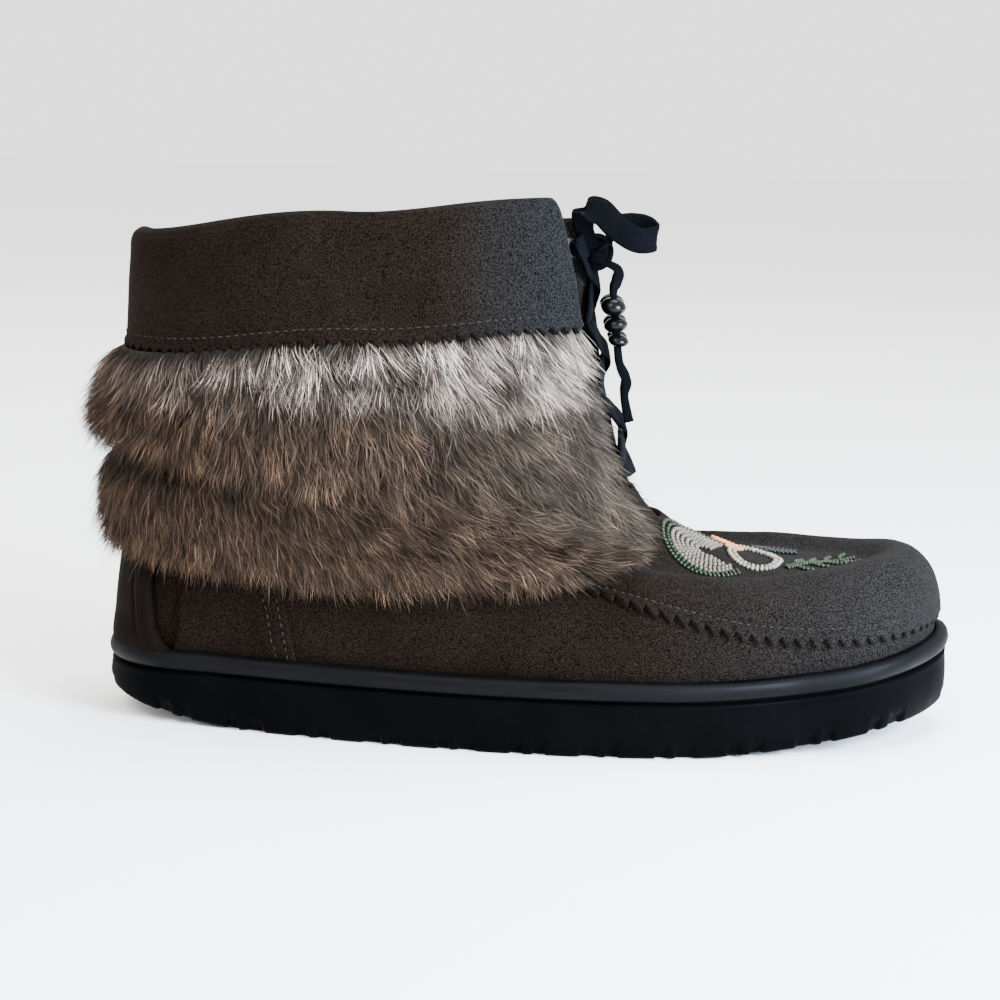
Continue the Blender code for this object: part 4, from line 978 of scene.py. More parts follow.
def make_eyelets():
    """A rolled metal ring in each hole beside the slit."""
    profile = np.array((
        (EYELET_BORE, -0.0004), (EYELET_OUTER * 0.98, -0.0001), (EYELET_OUTER, EYELET_WALL * 0.35),
        (EYELET_OUTER * 0.82, EYELET_WALL * 1.05), (EYELET_BORE * 1.25, EYELET_WALL * 0.95),
        (EYELET_BORE, EYELET_WALL * 0.4),
    ))
    for row in range(EYELET_ROWS):
        for side, name in ((-1, "medial"), (1, "lateral")):
            centre, direction = eyelet_place(row, side)
            points = (turned(profile, EYELET_SIDES) + (0, 0, 2 * GAP)) @ frame_of(direction).T + centre
            quads = turned_quads(len(profile) + 1, EYELET_SIDES) % (len(profile) * EYELET_SIDES)
            ring = add_mesh(f"eyelet_ring_{name}_{row + 1}", points, [quads], METAL)
            ride(ring, f"eyelet_{name}_{row + 1}")


def make_lacing():
    """The ribbon through the eyelets: a bar at each end and crosses between."""
    spans = [((0, -1), (0, 1))]
    for row in range(EYELET_ROWS - 1):
        spans += [((row, -1), (row + 1, 1)), ((row, 1), (row + 1, -1))]
    spans.append(((EYELET_ROWS - 1, -1), (EYELET_ROWS - 1, 1)))
    parts = []
    for index, (start, end) in enumerate(spans):
        (a, out_a), (b, out_b) = eyelet_place(*start), eyelet_place(*end)
        middle_out = unit(out_a + out_b)
        along = unit(b - a)
        lift = LACING_LIFT + LACING_STEP * (index % 2)
        shoulder = lift + LACING_SHOULDER
        corners = [
            a - out_a * LACING_DIP, a + out_a * 0.0004, a + out_a * lift + along * LACING_LEAD,
            a * 0.68 + b * 0.32 + middle_out * (shoulder + LACING_STEP * (index % 3)),
            (a + b) / 2 + middle_out * (lift + 0.0026 + 0.0012 * (index % 2)),
            a * 0.32 + b * 0.68 + middle_out * (shoulder + LACING_STEP * ((index + 1) % 3)),
            b + out_b * lift - along * LACING_LEAD, b + out_b * 0.0004, b - out_b * LACING_DIP,
        ]
        line = spline(corners, 6)
        across = np.cross(np.gradient(line, axis=0), middle_out)
        widths = np.interp(np.linspace(0, 1, len(line)), *zip(*LACING_WIDTHS))
        across[:2], across[-2:] = across[2], across[-3]
        parts.append(strap(line, across, widths, LACE_WALL))
    ride(add_mesh("ribbon_lacing", *join(parts), RIBBON), "lace_crossings")


def relief(points, forms):
    """Soft folds and swells of the suede, along its outward direction: dents, and waves of two sizes."""
    table, broad, fine = forms
    total = dents(points, table)
    for height, scale, seed in (broad, fine):
        total = total + height * waves(points, scale, seed)
    return total


def make_upper():
    """The suede foot and shaft, one hollow wall with a slit down the front."""
    across_slit = np.linspace(0.5 - SLIT, 0.5 + SLIT, 13)[1:-1]
    turns = np.concatenate((np.linspace(0.5 + SLIT, 1.5 - SLIT, UPPER_COLUMNS), across_slit))
    parts = ((0, 1, 4), (1, 9, 49), (9, TOP_LEVEL, 17))
    levels = np.unique(np.concatenate([np.linspace(*part) for part in parts]))
    grid_turns, grid_levels = np.meshgrid(turns, levels)
    away = np.abs((turns % 1.0) - 0.5)
    lowered = SHAFT_CUT + FRONT_CUT * np.clip((FRONT_OPENING_TURN + 0.03 - away) / 0.05, 0, 1)
    over = np.clip((grid_levels - SLIT_LEVEL) / (TOP_LEVEL - SLIT_LEVEL), 0, 1)
    grid_levels = grid_levels - over * lowered
    base = curve(grid_turns, grid_levels)
    out = normals(grid_turns, grid_levels)
    push = relief(base, FOOT_RELIEF) * np.clip((grid_levels - 1.1) / 0.5, 0, 1)
    outer = base + push[..., None] * out
    keep = np.ones((len(levels) - 1, len(turns)), bool)
    keep[levels[:-1] >= SLIT_LEVEL, UPPER_COLUMNS - 1:] = False
    upper = shell("suede_upper", outer, outer - UPPER_WALL * out, SUEDE_FOOT, True, keep, LINING)
    return ride(upper, "upper")


def add_overlay(name, base, out, extra, side=1):
    """A suede wall on the foot that follows its folds, with its own relief, and its outer points."""
    folds = relief(base, FOOT_RELIEF)
    outer = base + (GAP + OVERLAY_WALL + folds + extra)[..., None] * out
    inner = base + (GAP + folds)[..., None] * out
    return shell(name, outer[:, ::side], inner[:, ::side], SUEDE_FOOT), outer


def run_lengths(points):
    """Lengths along a line of points, from its start."""
    return np.concatenate(([0.0], np.cumsum(np.linalg.norm(np.diff(points, axis=0), axis=1))))


def read_line(spots, at, points):
    """Points at given lengths along a line of points."""
    return np.stack([np.interp(spots, at, points[:, k]) for k in range(3)], -1)


def stitches(name, points, outs, pitch, length, thick):
    """A row of thread stitches along a line: each dips into the suede at both ends."""
    at = run_lengths(points)
    parts = []
    count = int(at[-1] / pitch)
    angle = (2 * math.pi * np.arange(6) / 6)[:, None]
    shares = np.linspace(-0.5, 0.5, 6)
    radius = thick / 2 * (1 - 1.6 * shares ** 2)[:, None, None]
    for n in range(count):
        spots = (n + 0.5) * at[-1] / count + shares * length
        line, out = read_line(spots, at, points), read_line(spots, at, outs)
        line = line + out * (thick * (0.35 - 3.4 * shares ** 2))[:, None]
        along = unit(np.gradient(line, axis=0))
        across = unit(np.cross(along, out))
        ring = across[:, None] * np.cos(angle) + np.cross(across, along)[:, None] * np.sin(angle)
        parts.append(tube(line[:, None] + radius * ring))
    ride(add_mesh(name, *join(parts), THREAD))


def bell(away, width):
    """1 where away is 0, and falling to 0 on both sides."""
    return np.exp(-(away / width) ** 2)


def pinking(at, probe, pitch, steps):
    """Turns along a pinked edge, evenly spaced, and where each lies in its tooth, from -1 to 1."""
    count = round(at[-1] / pitch) * steps
    phase = np.arange(count + 1) / steps % 1.0
    return np.interp(np.linspace(0, at[-1], count + 1), at, probe), 1 - np.abs(2 * phase - 1) * 2


def make_vamp_plug():
    """The pinked overlay over the toe, with a stitch line inside its toothed edge."""
    probe = np.linspace(0.5 - PLUG_REACH, 0.5 + PLUG_REACH, 401)
    at = run_lengths(curve(probe, np.array([plug_edge(turn) for turn in probe])))
    turns, tooth = pinking(at, probe, PLUG_TOOTH, PLUG_TOOTH_STEPS)
    edges = np.array([plug_edge(turn) for turn in turns])
    scale = np.linalg.norm(curve(turns, edges + 0.5) - curve(turns, edges - 0.5), axis=1)
    coarse = PLUG_FINE + np.cumsum(np.linspace(0.0010, 0.0039, 23))
    reach = np.concatenate((np.linspace(0, PLUG_FINE, 17), coarse))
    levels = edges + reach[:, None] / scale
    levels -= (PLUG_TOOTH_DEPTH / 2 * tooth / scale) * np.clip(1 - reach / 0.0024, 0, 1)[:, None]
    span = (PLUG_TOP - edges) / (levels[-1] - edges)
    blend = np.clip((reach - PLUG_FINE) / (reach[-1] - PLUG_FINE), 0, 1)[:, None]
    levels = edges + (levels - edges) * (1 - blend + blend * span)
    grid_turns = np.repeat(turns[None], len(reach), 0)
    base, out = curve(grid_turns, levels), normals(grid_turns, levels)
    near = reach[:, None]
    extra = bell(near - 0.0008, 0.0014) * 0.0007 - bell(near - PLUG_SEAM, 0.0006) * 0.00045
    extra = extra - 0.00075 * np.clip(1 - near / 0.0005, 0, 1)
    extra = extra + 0.0004 * np.clip((near - PLUG_SEAM) / 0.004, 0, 1)
    plug, outer = add_overlay("suede_plug", base, out, extra)
    ride(plug, "vamp_plug")
    row = int(np.argmin(np.abs(reach - PLUG_SEAM)))
    stitches("plug_stitches", outer[row, 6:-6], out[row, 6:-6], *PLUG_STITCH)
    return plug


def make_heel_counters():
    """The suede overlay on each side of the heel, with two rows of stitches up its front edge."""
    back = BUMPER_TURN - 0.006
    levels = np.linspace(1.08, 4.3, 40)
    front = COUNTER_REACH - COUNTER_LEAN * (levels - 1)
    for side, name in ((1, "medial"), (-1, "lateral")):
        turns = side * (back + (front[:, None] - back) * np.linspace(0, 1, 60))
        grid_levels = np.repeat(levels[:, None], 60, 1)
        base, out = curve(turns, grid_levels), normals(turns, grid_levels)
        from_edge = np.linalg.norm(base - base[:, -1:], axis=-1)
        extra = -0.0007 * np.clip(1 - from_edge / 0.0007, 0, 1)
        for seam in COUNTER_SEAMS:
            extra = extra - 0.00035 * bell(from_edge - seam, 0.0006)
        counter, outer = add_overlay(f"suede_counter_{name}", base, out, extra, side)
        ride(counter, f"heel_counter_{name}")
        for n, seam in enumerate(COUNTER_SEAMS):
            columns = np.argmin(np.abs(from_edge - seam), axis=1)
            line = (np.arange(len(columns)), columns)
            stitches(f"counter_stitches_{name}_{n + 1}", outer[line], out[line], *COUNTER_STITCH)


def make_tongue():
    """The tongue, which swells out between the edges of the slit."""
    reach = slit_turn(TONGUE_WIDTH)
    grid_turns, levels = np.meshgrid(np.linspace(0.5 - reach, 0.5 + reach, 40), np.linspace(10.6, 14.8, 60))
    base, out = curve(grid_turns, levels), normals(grid_turns, levels)
    lift = np.minimum(-UPPER_WALL - 3 * GAP + 0.0003 * waves(base, 0.02, 9), -UPPER_WALL - 2 * GAP)
    lift += TONGUE_SWELL * bell(grid_turns - 0.5, 0.42 * reach) * np.clip((levels - 11) / 1.5, 0, 1)
    outer = base + lift[..., None] * out
    ride(shell("suede_tongue", outer, outer - TONGUE_WALL * out, SUEDE_CUFF), "tongue")


def cuff_profiles():
    """The cuff's outer and inner side, as stand-off and height, from the roll down to the hem."""
    profile = spline(CUFF_PROFILE, 4)
    start, end = profile[-1, 1], CUFF_TEETH - CUFF_DROP
    lower = np.concatenate((np.linspace(start, end, 18)[1:], np.linspace(end, -CUFF_DROP, 6)[1:]))
    flare = np.interp(lower, (-CUFF_DROP, start), (CUFF_FLARE + CUFF_WALL, profile[-1, 0]))
    profile = np.concatenate((profile, np.stack((flare, lower), -1)))
    along = unit(np.gradient(profile, axis=0))
    return profile, profile + CUFF_WALL * np.stack((along[:, 1], -along[:, 0]), -1)


def make_cuff():
    """The folded collar: a soft roll, a pinked lower edge with a stitch line, and rounded front corners."""
    half = slit_turn(FRONT_OPENING)
    probe = np.linspace(0.5 + half, 1.5 - half, 401)
    sway = np.sin(2 * math.pi * probe)
    tops = curve(probe, TOP_LEVEL)[:, 2] - np.where(sway < 0, *CUFF_SWAY) * sway
    lifts = np.interp(np.abs(probe - 1.0), *zip(*CUFF_LIFT))
    at = run_lengths(place(probe, level_of(probe, tops - CUFF_DROP + lifts), CUFF_FLARE + CUFF_WALL))
    turns, tooth = pinking(at, probe, CUFF_TOOTH, CUFF_TOOTH_STEPS)
    lengths = np.linspace(0, at[-1], len(turns))
    tops = np.interp(lengths, at, tops)
    shrink = 1 - np.interp(lengths, at, lifts) / CUFF_DROP
    from_corner = 1 - np.clip(np.minimum(lengths, lengths[-1] - lengths) / CUFF_CORNER, 0, 1)
    round_off = CUFF_CORNER * (1 - np.sqrt(np.clip(1 - from_corner ** 2, 0, 1)))
    waviness = 0.0007 * waves(np.stack((lengths, lengths * 0, lengths * 0), -1), 0.06, 21)
    profile, inner_profile = cuff_profiles()
    outer, inner = [], []
    for (out, up), (out_in, up_in) in zip(profile, inner_profile):
        from_hem = up + CUFF_DROP
        outside = out > 0.0015
        drop = up * (shrink if up < 0 else 1.0) - round_off * np.clip(1 + up / 0.02, 0, 1)
        teeth = -CUFF_TEETH / 2 * tooth * np.clip(1 - from_hem / 0.0022, 0, 1) * outside
        crest = waviness * np.clip(1 + up / 0.012, 0, 1)
        levels = level_of(turns, tops + np.minimum(drop, 0.0) + teeth)
        hem = 0.0005 * bell(from_hem - 0.0008, 0.0014) - 0.0006 * max(0.0, 1 - from_hem / 0.0004)
        extra = (hem - 0.0004 * bell(from_hem - CUFF_SEAM, 0.0006)) * outside
        points = place(turns, levels, out + extra)
        points[:, 2] += np.maximum(drop, 0.0) + crest
        push = (relief(points, CUFF_RELIEF) * outside)[:, None] * normals(turns, levels)
        outer.append(points + push)
        points_in = place(turns, levels, out_in)
        points_in[:, 2] += max(up_in, 0.0) * (up > 0) + crest
        inner.append(points_in + push)
    outer, inner = np.array(outer)[::-1], np.array(inner)[::-1]
    ride(shell("suede_cuff", outer, inner, SUEDE_CUFF), "cuff")
    row = int(np.argmin(np.abs(profile[::-1, 1] + CUFF_DROP - CUFF_SEAM)))
    outs = normals(turns, level_of(turns, tops - CUFF_DROP * shrink))
    stitches("cuff_stitches", outer[row, 4:-4], outs[4:-4], *CUFF_STITCH)


def make_insole():
    """The CAD insole is right in shape and takes a fleece finish."""
    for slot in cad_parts["insole"].material_slots:
        slot.material = LINING


def fur_surface(columns, rows):
    """The pelt's turns and shares of its height, and its points and outward and downward directions."""
    half = slit_turn(FRONT_OPENING)
    turns = np.linspace(0.5 + half, 1.5 - half, columns)
    shares = np.linspace(0.0, 1.0, rows)
    hems = np.array([smooth(FUR_HEM_AWAY, FUR_HEM, abs((turn % 1.0) - 0.5)) for turn in turns])
    tops = level_of(turns, curve(turns, TOP_LEVEL)[:, 2] - CUFF_DROP + FUR_TUCK)
    foot = np.interp(np.abs(turns - 1.0), *zip(*FUR_FOOT))
    levels = hems + (tops - hems) * (foot + (1 - foot) * shares[:, None])
    grid_turns = np.repeat(turns[None], rows, 0)
    base, out = curve(grid_turns, levels), normals(grid_turns, levels)
    down = -np.gradient(base, axis=0)
    down /= np.linalg.norm(down, axis=-1, keepdims=True)
    return turns, shares, base, out, down


def crease_share(turns):
    """Share of the height of the crease, a little wavy, lower away from the heel."""
    slope = CREASE_SLOPE * np.abs(turns - 1.0)
    return CREASE_SHARE - slope + 0.018 * np.sin(57 * turns) + 0.012 * np.sin(131 * turns)


def fur_loft(turns, shares):
    """How far the pelt's hair stands off the shaft, from its hem up to the cuff, with the heel's crease."""
    heel = bell(turns - 1.0, CREASE_REACH)
    crease_at = crease_share(turns)
    crease = bell(shares - crease_at, CREASE_WIDTH)
    front = np.minimum(turns - turns.min(), turns.max() - turns)
    loft = np.interp(shares, *zip(*FUR_LOFT)) * np.interp(front, (0, 0.03, 0.10), (0.35, 0.70, 1.0))
    bulge = np.where(shares > crease_at, *HEEL_LOFT) * heel * (1 - crease)
    low = 1 - 0.45 * heel * np.clip(1 - shares / 0.3, 0, 1)
    return loft * (1 - CREASE_DEPTH * heel * crease) * (1 + bulge) * low


def read_grid(grid, column, row):
    """Values between the points of a grid, at arrays of columns and rows."""
    i, j = column.astype(int), row.astype(int)
    s, t = (column - i)[:, None], (row - j)[:, None]
    return (
        (grid[j, i] * (1 - s) + grid[j, i + 1] * s) * (1 - t)
        + (grid[j + 1, i] * (1 - s) + grid[j + 1, i + 1] * s) * t
    )


def make_locks(rng):
    """Seeds of the pelt's locks over its grid, a tree to find the nearest, and each lock's bend and tone."""
    seeds = rng.random((LOCKS, 2))
    tree = KDTree(LOCKS)
    for n, (a, b) in enumerate(seeds):
        tree.insert((a, b, 0.0), n)
    tree.balance()
    return seeds, tree, rng.normal(0, 1, (LOCKS, 3)), rng.normal(0, 1, LOCKS)


def make_fur():
    """The pelt: a dark ground, and layers of hair over it."""
    turns, shares, base, out, down = fur_surface(*FUR_GRID)
    loft = fur_loft(*np.meshgrid(turns, shares)) * FUR_DEPTH
    ground = base + np.maximum(FUR_GROUND * loft, FUR_SKIN[1])[..., None] * out
    ride(shell("fur_ground", ground, base + FUR_SKIN[0] * out, HIDE), "fur_band")
    rng = np.random.default_rng(5)
    locks = make_locks(rng)
    grids = (ground, out, down, np.cross(out, down))
    for layer in range(FUR_LAYERS):
        make_hair(f"fur_hair_{layer + 1}", turns, shares, grids, locks, rng)


def make_hair(name, turns, shares, grids, locks, rng):
    """One layer of hair, combed by locks: each hair is a tapered blade that bends from root to tip."""
    seeds, tree, bends, tones = locks
    count = HAIRS_PER_LAYER
    u, v = rng.random(count), rng.random(count)
    length = rng.uniform(*HAIR_LENGTH, count)
    guard = rng.random(count) < GUARD_SHARE
    length[guard] *= rng.uniform(*GUARD_LENGTH, guard.sum())
    column, row = u * (FUR_GRID[0] - 1), v * (FUR_GRID[1] - 1)
    turn, share = turns[column.astype(int)], shares[row.astype(int)]
    root, normal, fall, side = (read_grid(grid, column, row) for grid in grids)
    near = np.array([tree.find((a, b, 0.0))[1] for a, b in zip(u, v)])
    bend, tone = bends[near], tones[near]
    pull = (seeds[near] - np.stack((u, v), -1)) * np.array(LOCK_SPAN)
    heel = bell(turn - 1.0, CREASE_REACH)
    lean = HAIR_LEAN + LOCK_BEND[0] * bend[:, 0] + rng.normal(0, HAIR_STRAY[0], count) + GUARD_LEAN * guard
    sweep = np.interp(turn, *zip(*HAIR_SWEEP)) * np.interp(share, (0.0, 0.6), (-0.7, 1.0))
    slide = sweep + LOCK_BEND[1] * bend[:, 1] + rng.normal(0, HAIR_STRAY[1], count)
    above = share - crease_share(turn)
    clear = np.where(above > 0, above * LOCK_SPAN[1] + 0.0025, 1.0)
    length = np.where(rng.random(count) < heel * 0.85, np.minimum(length, clear), length)
    lean = lean + 0.45 * heel * bell(above + 0.07, 0.06)
    lean = lean + 1.4 * bell(turn - 1.0, 0.09) * np.clip((above - 0.03) / 0.13, 0, 1)
    first = unit(fall + (lean * 1.25)[:, None] * normal + slide[:, None] * side)
    last = fall * 1.15 + (0.30 * lean + 0.05)[:, None] * normal + (1.3 * slide)[:, None] * side
    last = unit(last + (pull[:, :1] * side - pull[:, 1:] * fall) * LOCK_PULL)
    steps = np.array(HAIR_STEPS)[:, None]
    path = root[:, None] + length[:, None, None] * (
        first[:, None] * (steps - 0.5 * steps ** 2) + last[:, None] * (0.5 * steps ** 2)
    )
    face = unit(np.cross(first, normal) + rng.normal(0, HAIR_STRAY[2], (count, 3)))
    width = rng.uniform(*HAIR_WIDTH, count) * np.where(guard, GUARD_WIDTH, 1.0)
    spread = width[:, None, None] * np.array(HAIR_TAPER)[:, None] * face[:, None] / 2
    points = np.concatenate((path[:, :3] - spread, path[:, :3] + spread, path[:, 3:]), axis=1)
    start_at = np.arange(count)[:, None] * 7
    quads = (start_at[:, None] + np.array(((0, 3, 4, 1), (1, 4, 5, 2)))).reshape(-1, 4)
    hair = add_mesh(name, points, [quads, start_at + np.array((2, 5, 6))], HAIR)
    # Painted shade along the heel's crease: the hairs there are darkened for the crease's shade and for
    # their bare dark roots.
    dark = 1 - 0.8 * heel * bell(above, 0.07)
    colour_hair(hair, turn, share, tone + waves(root, 0.014, 41), guard, rng.random(count), dark)
    ride(hair)


def colour_hair(hair, turn, share, tone, guard, pick, dark):
    """Each hair's tint: brown at the heel, grey towards the front, pale under the cuff, some dark, and
    painted shade at the heel's crease.
    """
    grey = np.interp(turn, *zip(*FUR_GREY))[:, None]
    start = 0.89 - 0.16 * grey[:, 0]
    pale = np.interp(turn, *zip(*FUR_PALE)) * np.clip((share - start) / (0.99 - start), 0, 1)
    pale = (pale * np.clip(0.75 + 0.30 * tone, 0, 1))[:, None]
    colour = np.array(FUR_BROWN) * (1 - grey) + np.array(FUR_SILVER) * grey
    colour = colour * (1 - pale) + np.array(FUR_BRIGHT) * pale
    # dark carries the painted shade of the heel's crease.
    light = np.interp(pick, *zip(*FUR_LIGHT)) * np.exp(0.36 * tone) * dark
    light *= 1 - 0.75 * bell(turn - SEAM_TURN, 0.0045)
    tip = colour * light[:, None]
    tip = tip * (1 - 0.25 * guard[:, None]) + 0.25 * guard[:, None] * np.array(FUR_SILVER) * 1.6
    root = np.array(FUR_ROOT) * (0.6 + 0.8 * grey)
    stages = np.array(HAIR_TINT)[:, None]
    body = root[:, None] * (1 - np.minimum(stages, 1.0)) + tip[:, None] * stages
    tint = np.concatenate((body[:, :3], body[:, :3], body[:, 3:]), axis=1)
    tint = np.concatenate((np.clip(tint, 0, 1), np.ones((*tint.shape[:2], 1))), axis=-1)
    layer = hair.data.color_attributes.new("tint", "FLOAT_COLOR", "POINT")
    layer.data.foreach_set("color", tint.astype(np.float32).ravel())


def surface_tree(piece):
    """A piece's faces, ready for rays."""
    mesh = piece.data
    return BVHTree.FromPolygons([v.co for v in mesh.vertices], [tuple(p.vertices) for p in mesh.polygons])


def seed_places(tree, rows):
    """Places of seed beads in rows drawn in plan and dropped on the overlay, with direction and colour."""
    placed = []
    for colours, corners in rows:
        line = spline([(x, y, 0.0) for x, y in corners], 12)
        at = run_lengths(line)
        n = 0
        previous = None
        run = 0.0
        while run < at[-1]:
            x, y, _ = read_line(run, at, line)
            hit, normal, _, _ = tree.ray_cast(Vector((x, y, 0.25)), Vector((0, 0, -1)))
            if hit is not None:
                here = np.array(hit)
                if previous is None or np.linalg.norm(here - previous) >= SEED_PITCH:
                    placed.append((here, np.array(normal), colours[n % len(colours)], previous))
                    previous = here
                    n += 1
            run += SEED_PITCH / 12
    return placed


def make_beadwork(plug):
    """Glass seed beads sewn on the overlay, in one piece for each colour."""
    rng = np.random.default_rng(8)
    points, quads, triangles = lathe(ball(7), 10)
    groups = {}
    for here, normal, colour, previous in seed_places(surface_tree(plug), motif()):
        along = here - previous if previous is not None else np.array((1.0, 0.0, 0.0))
        size = SEED_SIZE * rng.uniform(0.92, 1.06, 3) / 2 * (1.0, 1.0, 0.82)
        turn = frame_of(along + rng.normal(0, 0.0002, 3), normal)
        part = (points * size) @ turn.T + here + normal * SEED_SIZE * 0.30
        groups.setdefault(colour, []).append((part, quads, triangles))
    for colour, parts in sorted(groups.items()):
        shade, roughness = SEED_COLOURS[colour]
        glass = gloss(f"seed_glass_{colour}", shade, roughness, 0.2)
        ride(add_mesh(f"seed_beads_{colour}", *join(parts), glass))


def sole_profile(turn, notches):
    """The sole's side in section, as inset and height, from the tread up over the rim and into the cup."""
    x = sole_outline(turn)[0]
    floor = tread_height(x)
    rim = rim_height(x)
    band = rim - BAND_HEIGHT
    tread = floor - rise(x, TREAD_FILL_START, TOE_TIP, TREAD_FILL) + HEEL_LIFT * ease((-0.015 - x) / 0.045)
    cut = notch_depth(turn, notches)
    profile = [(inset + share * cut, tread + height) for inset, share, height in TREAD_EDGE]
    low, high = tread + 0.0045, band - 0.0022
    for k in range(SIDE_ROWS):
        share = k / (SIDE_ROWS - 1)
        z = low + (high - low) * share
        bulge = SIDE_SWELL * math.sin(math.pi * min(1, (z - tread) / (band - tread)))
        near = min(max(1 - (z - tread - 0.0026) / (NOTCH_RISE - 0.0026), 0.0), 1.0)
        profile.append((0.0005 + 0.0002 * share - bulge + cut * near, z))
    profile += [(inset, band + height) for inset, height in BAND_LOW]
    profile += [(inset, rim + height) for inset, height in BAND_HIGH]
    swell = HEEL_SWELL * ease((0.02 - x) / 0.06)
    inner = [(CUP_WALL, rim - 0.0008), (CUP_WALL, SOLE_FLOOR + floor)]
    return [(inset - swell, z) for inset, z in profile] + inner


def make_sole():
    """The cup sole: its notched side, groove and raised band from one section, and grooves under it."""
    notches = notch_table()
    notch_turns = [turn + half * k for turn, half in notches for k in NOTCH_COLUMNS]
    turns = np.unique(np.concatenate((np.arange(0, 1, 1 / 300), notch_turns)))
    grid = np.array([
        [(*sole_outline(turn, inset), z) for inset, z in sole_profile(turn, notches)] for turn in turns
    ]).transpose(1, 0, 2)
    rows, columns = grid.shape[:2]
    heel, toe = int(np.argmin(grid[0, :, 0])), int(np.argmax(grid[0, :, 0]))
    caps = []
    for row, flip in ((0, False), (rows - 1, True)):
        caps += bridge(grid[row], row * columns, heel, toe, flip)
    quads = grid_quads(rows, columns)
    sole = add_mesh("rubber_sole", grid, [quads.reshape(-1, 4), np.array(caps)], RUBBER)
    sole.data.materials.append(RUBBER_BAND)
    set_slots(sole, np.arange(BAND_FIRST_ROW * columns, (rows - 1) * columns))
    modifier = sole.modifiers.new("Grooves", "BOOLEAN")
    modifier.operation = "DIFFERENCE"
    modifier.object = make_tread_grooves()
    modifier.solver = "FAST"
    ride(sole, "outsole")


def bridge(loop, first, heel, toe, flip):
    """Triangles that close a loop with strips across it, from the heel to the toe."""
    count = len(loop)
    up = [(heel + n) % count for n in range((toe - heel) % count + 1)]
    down = [(heel - n) % count for n in range((heel - toe) % count + 1)]
    faces = []
    a = b = 0
    while a < len(up) - 1 or b < len(down) - 1:
        x_up = loop[up[min(a + 1, len(up) - 1)], 0]
        x_down = loop[down[min(b + 1, len(down) - 1)], 0]
        if b == len(down) - 1 or (a < len(up) - 1 and x_up <= x_down):
            face = (up[a], up[a + 1], down[b])
            a += 1
        else:
            face = (up[a], down[b + 1], down[b])
            b += 1
        if len(set(face)) == 3:
            face = tuple(first + index for index in face)
            faces.append(face[::-1] if flip else face)
    return faces


def notch_table():
    """Turn and half width of each notch along the sole's lower edge, as in the CAD part."""
    table = []
    for side in (1, -1):
        for i in range(NOTCH_COUNT):
            share = 0.045 + 0.91 * (i + 0.5 + 0.18 * (-1) ** i) / NOTCH_COUNT
            turn = math.acos(1 - 2 * share) / (2 * math.pi)
            pace = float(np.linalg.norm(sole_outline(turn + 0.002) - sole_outline(turn - 0.002))) / 0.004
            half = NOTCH_WIDTH * (0.8 + 0.4 * (i % 3 == 0)) / 2 / pace
            table.append((turn if side > 0 else 1 - turn, half))
    return table


def notch_depth(turn, notches):
    """How deep the notches cut into the side at a share of a turn."""
    return max(NOTCH_CUT * (1 - ease((abs(turn - centre) / half - 0.80) / 0.30)) for centre, half in notches)


def make_tread_grooves():
    """Hidden boxes that cut the grooves between the tread blocks."""
    points, faces = [], []
    first = math.ceil((HEEL_BACK + LUG_PITCH) / LUG_PITCH - 0.5)
    last = math.floor((TOE_TIP - LUG_PITCH) / LUG_PITCH - 0.5)
    for i in range(first, last + 1):
        x = (i + 0.5) * LUG_PITCH
        turn = math.acos(1 - 2 * (x - HEEL_BACK) / SOLE_LENGTH) / (2 * math.pi)
        high, low = (sole_outline(at, TREAD_INSET + 2 * NOTCH_DEPTH)[1] for at in (turn, 1 - turn))
        faces += [[len(points) + corner for corner in face] for face in BOX_FACES]
        for dz in (-LUG_DEPTH, LUG_DEPTH):
            for dx, y in ((-LUG_GAP, low), (LUG_GAP, low), (LUG_GAP, high), (-LUG_GAP, high)):
                points.append((x + dx / 2, y, tread_height(x) + dz))
    cutter = add_mesh("tread_grooves", points, [np.array(faces)], RUBBER)
    cutter.hide_render = True
    cutter.display_type = "WIRE"
    return cutter


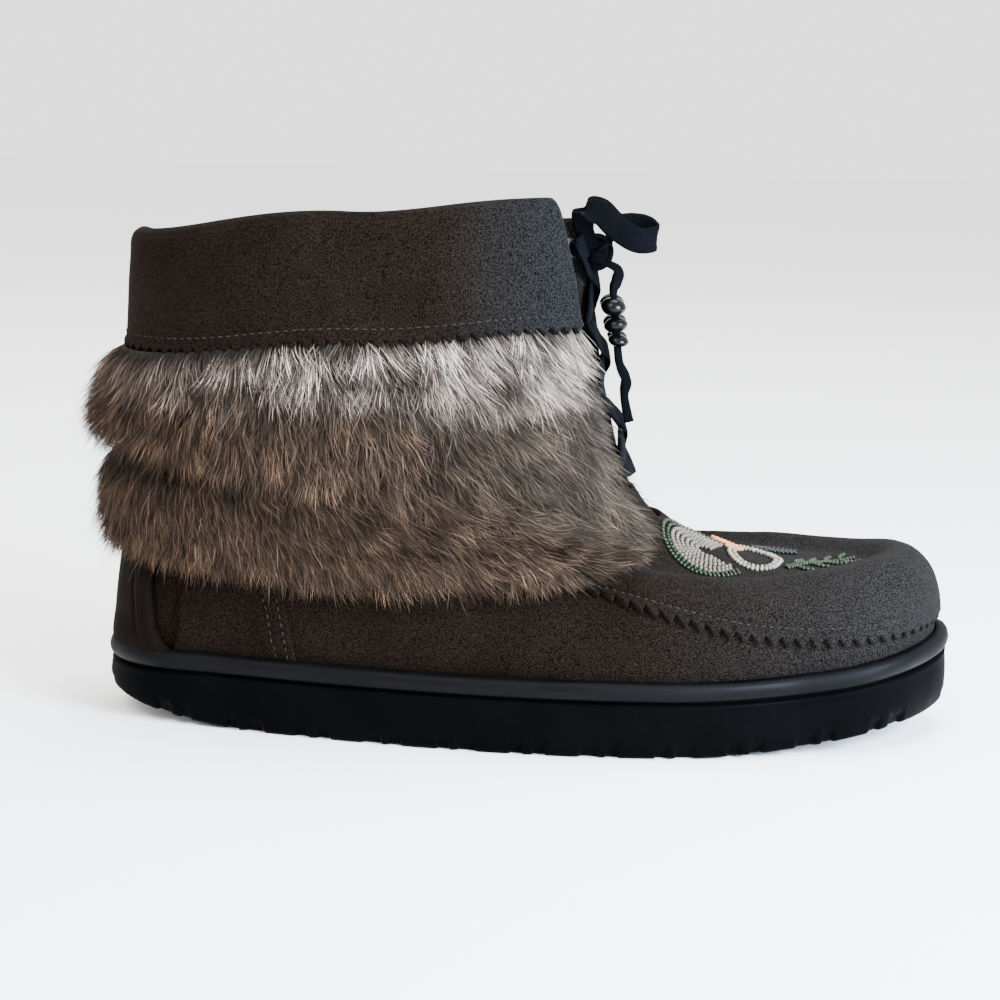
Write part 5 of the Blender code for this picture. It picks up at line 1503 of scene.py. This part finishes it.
def make_bumper():
    """The rubber up the back of the heel, with a raised border."""
    heights = np.linspace(BUMPER_SHAPE[0][0] + 0.06, 1.0, 60)
    reach = np.maximum(np.interp(heights, *zip(*BUMPER_SHAPE)) * BUMPER_TURN, 0.004)
    grid_turns = reach[:, None] * np.linspace(-1, 1, 121)
    z = RIM_HEIGHT + (BUMPER_HEIGHT - RIM_HEIGHT) * heights
    ladder = np.linspace(0, 8, 321)
    columns = np.linspace(-BUMPER_TURN, BUMPER_TURN, 61)
    table = [curve(np.full(ladder.shape, turn), ladder)[:, 2] for turn in columns]
    levels = np.array([
        np.interp(row, columns, [np.interp(height, line, ladder) for line in table])
        for row, height in zip(grid_turns, z)
    ])
    base, out = curve(grid_turns, levels), normals(grid_turns, levels)
    over_rim = np.clip((z - RIM_HEIGHT) / 0.010, 0, 1)[:, None]
    high = over_rim ** 2 * (3 - 2 * over_rim)
    from_edge = np.minimum((reach[:, None] - np.abs(grid_turns)) * BUMPER_PACE, (BUMPER_HEIGHT - z)[:, None])
    inside = from_edge - BUMPER_BORDER_WIDTH
    wall = BUMPER_WALL + (CUP_WALL + 0.0004 - BUMPER_WALL) * (1 - high)
    raised = BAND_PROUD * 1.2 * (1 - 1 / (1 + np.exp(-inside / 0.00025))) * high
    groove = -0.0007 * bell(inside - 0.0006, 0.0005) * high
    round_edge = -0.0016 * np.clip(1 - from_edge / 0.0012, 0, 1) ** 2
    outer = base + (GAP + wall + raised + groove + round_edge)[..., None] * out
    ride(shell("heel_bumper", outer, base + GAP * 1.5 * out, BUMPER_RUBBER), "outsole")


def arc_row(colours, centre, radii, start, end):
    """A row of seed beads along part of an ellipse in plan, from one angle to another in degrees."""
    angles = np.radians(np.linspace(start, end, 9))
    x, y = centre
    return colours, [(x + radii[0] * math.cos(angle), y + radii[1] * math.sin(angle)) for angle in angles]


def motif():
    """The design on the toe: a shell of nested rows, an open ring, a dark leaf and a branched sprig."""
    rows = []
    for n, colours in enumerate(SHELL_COLOURS):
        radius = 0.0150 - SEED_STEP * n
        rows.append(arc_row(colours, (0.1375, -0.0125), (radius, radius * 0.95), 62, 318))
    for n in range(4):
        radii = (0.0165 - SEED_STEP * n, 0.0180 - 0.0016 * n)
        rows.append(arc_row(("peach",), (0.1375, -0.0100), radii, 78 - 3 * n, 34))
    for n, colours in enumerate((("cream",), ("silver", "cream"))):
        radii = (0.0088 - SEED_STEP * n, 0.0125 - SEED_STEP * n)
        rows.append(arc_row(colours, (0.1545, -0.0065), radii, 0, 354))
    for n in range(4):
        bow = 0.0016 * (n - 1.5)
        leaf = [(0.1555, 0.0125 + bow), (0.1630, 0.0165 + 2 * bow), (0.1710, 0.0150 + bow)]
        rows.append((("black",), leaf))
    rows.append((("green",), SPRIG_STEM))
    rows.append((("green", "black"), [(x - 0.0005, y + 0.0016) for x, y in SPRIG_STEM[:-1]]))
    for x, y in SPRIG_LEAVES:
        rows.append((("green",), [(x, y - 0.0015), (x + 0.0026, y - 0.0045), (x + 0.0058, y - 0.0060)]))
        rows.append((("green",), [(x, y + 0.0025), (x + 0.0006, y + 0.0070), (x + 0.0030, y + 0.0110)]))
    return rows


make_camera()
make_free_lace()
make_knot()
make_eyelets()
make_lacing()
make_stage()
make_sole()
make_bumper()
make_insole()
make_upper()
make_beadwork(make_vamp_plug())
make_heel_counters()
make_tongue()
make_fur()
make_cuff()
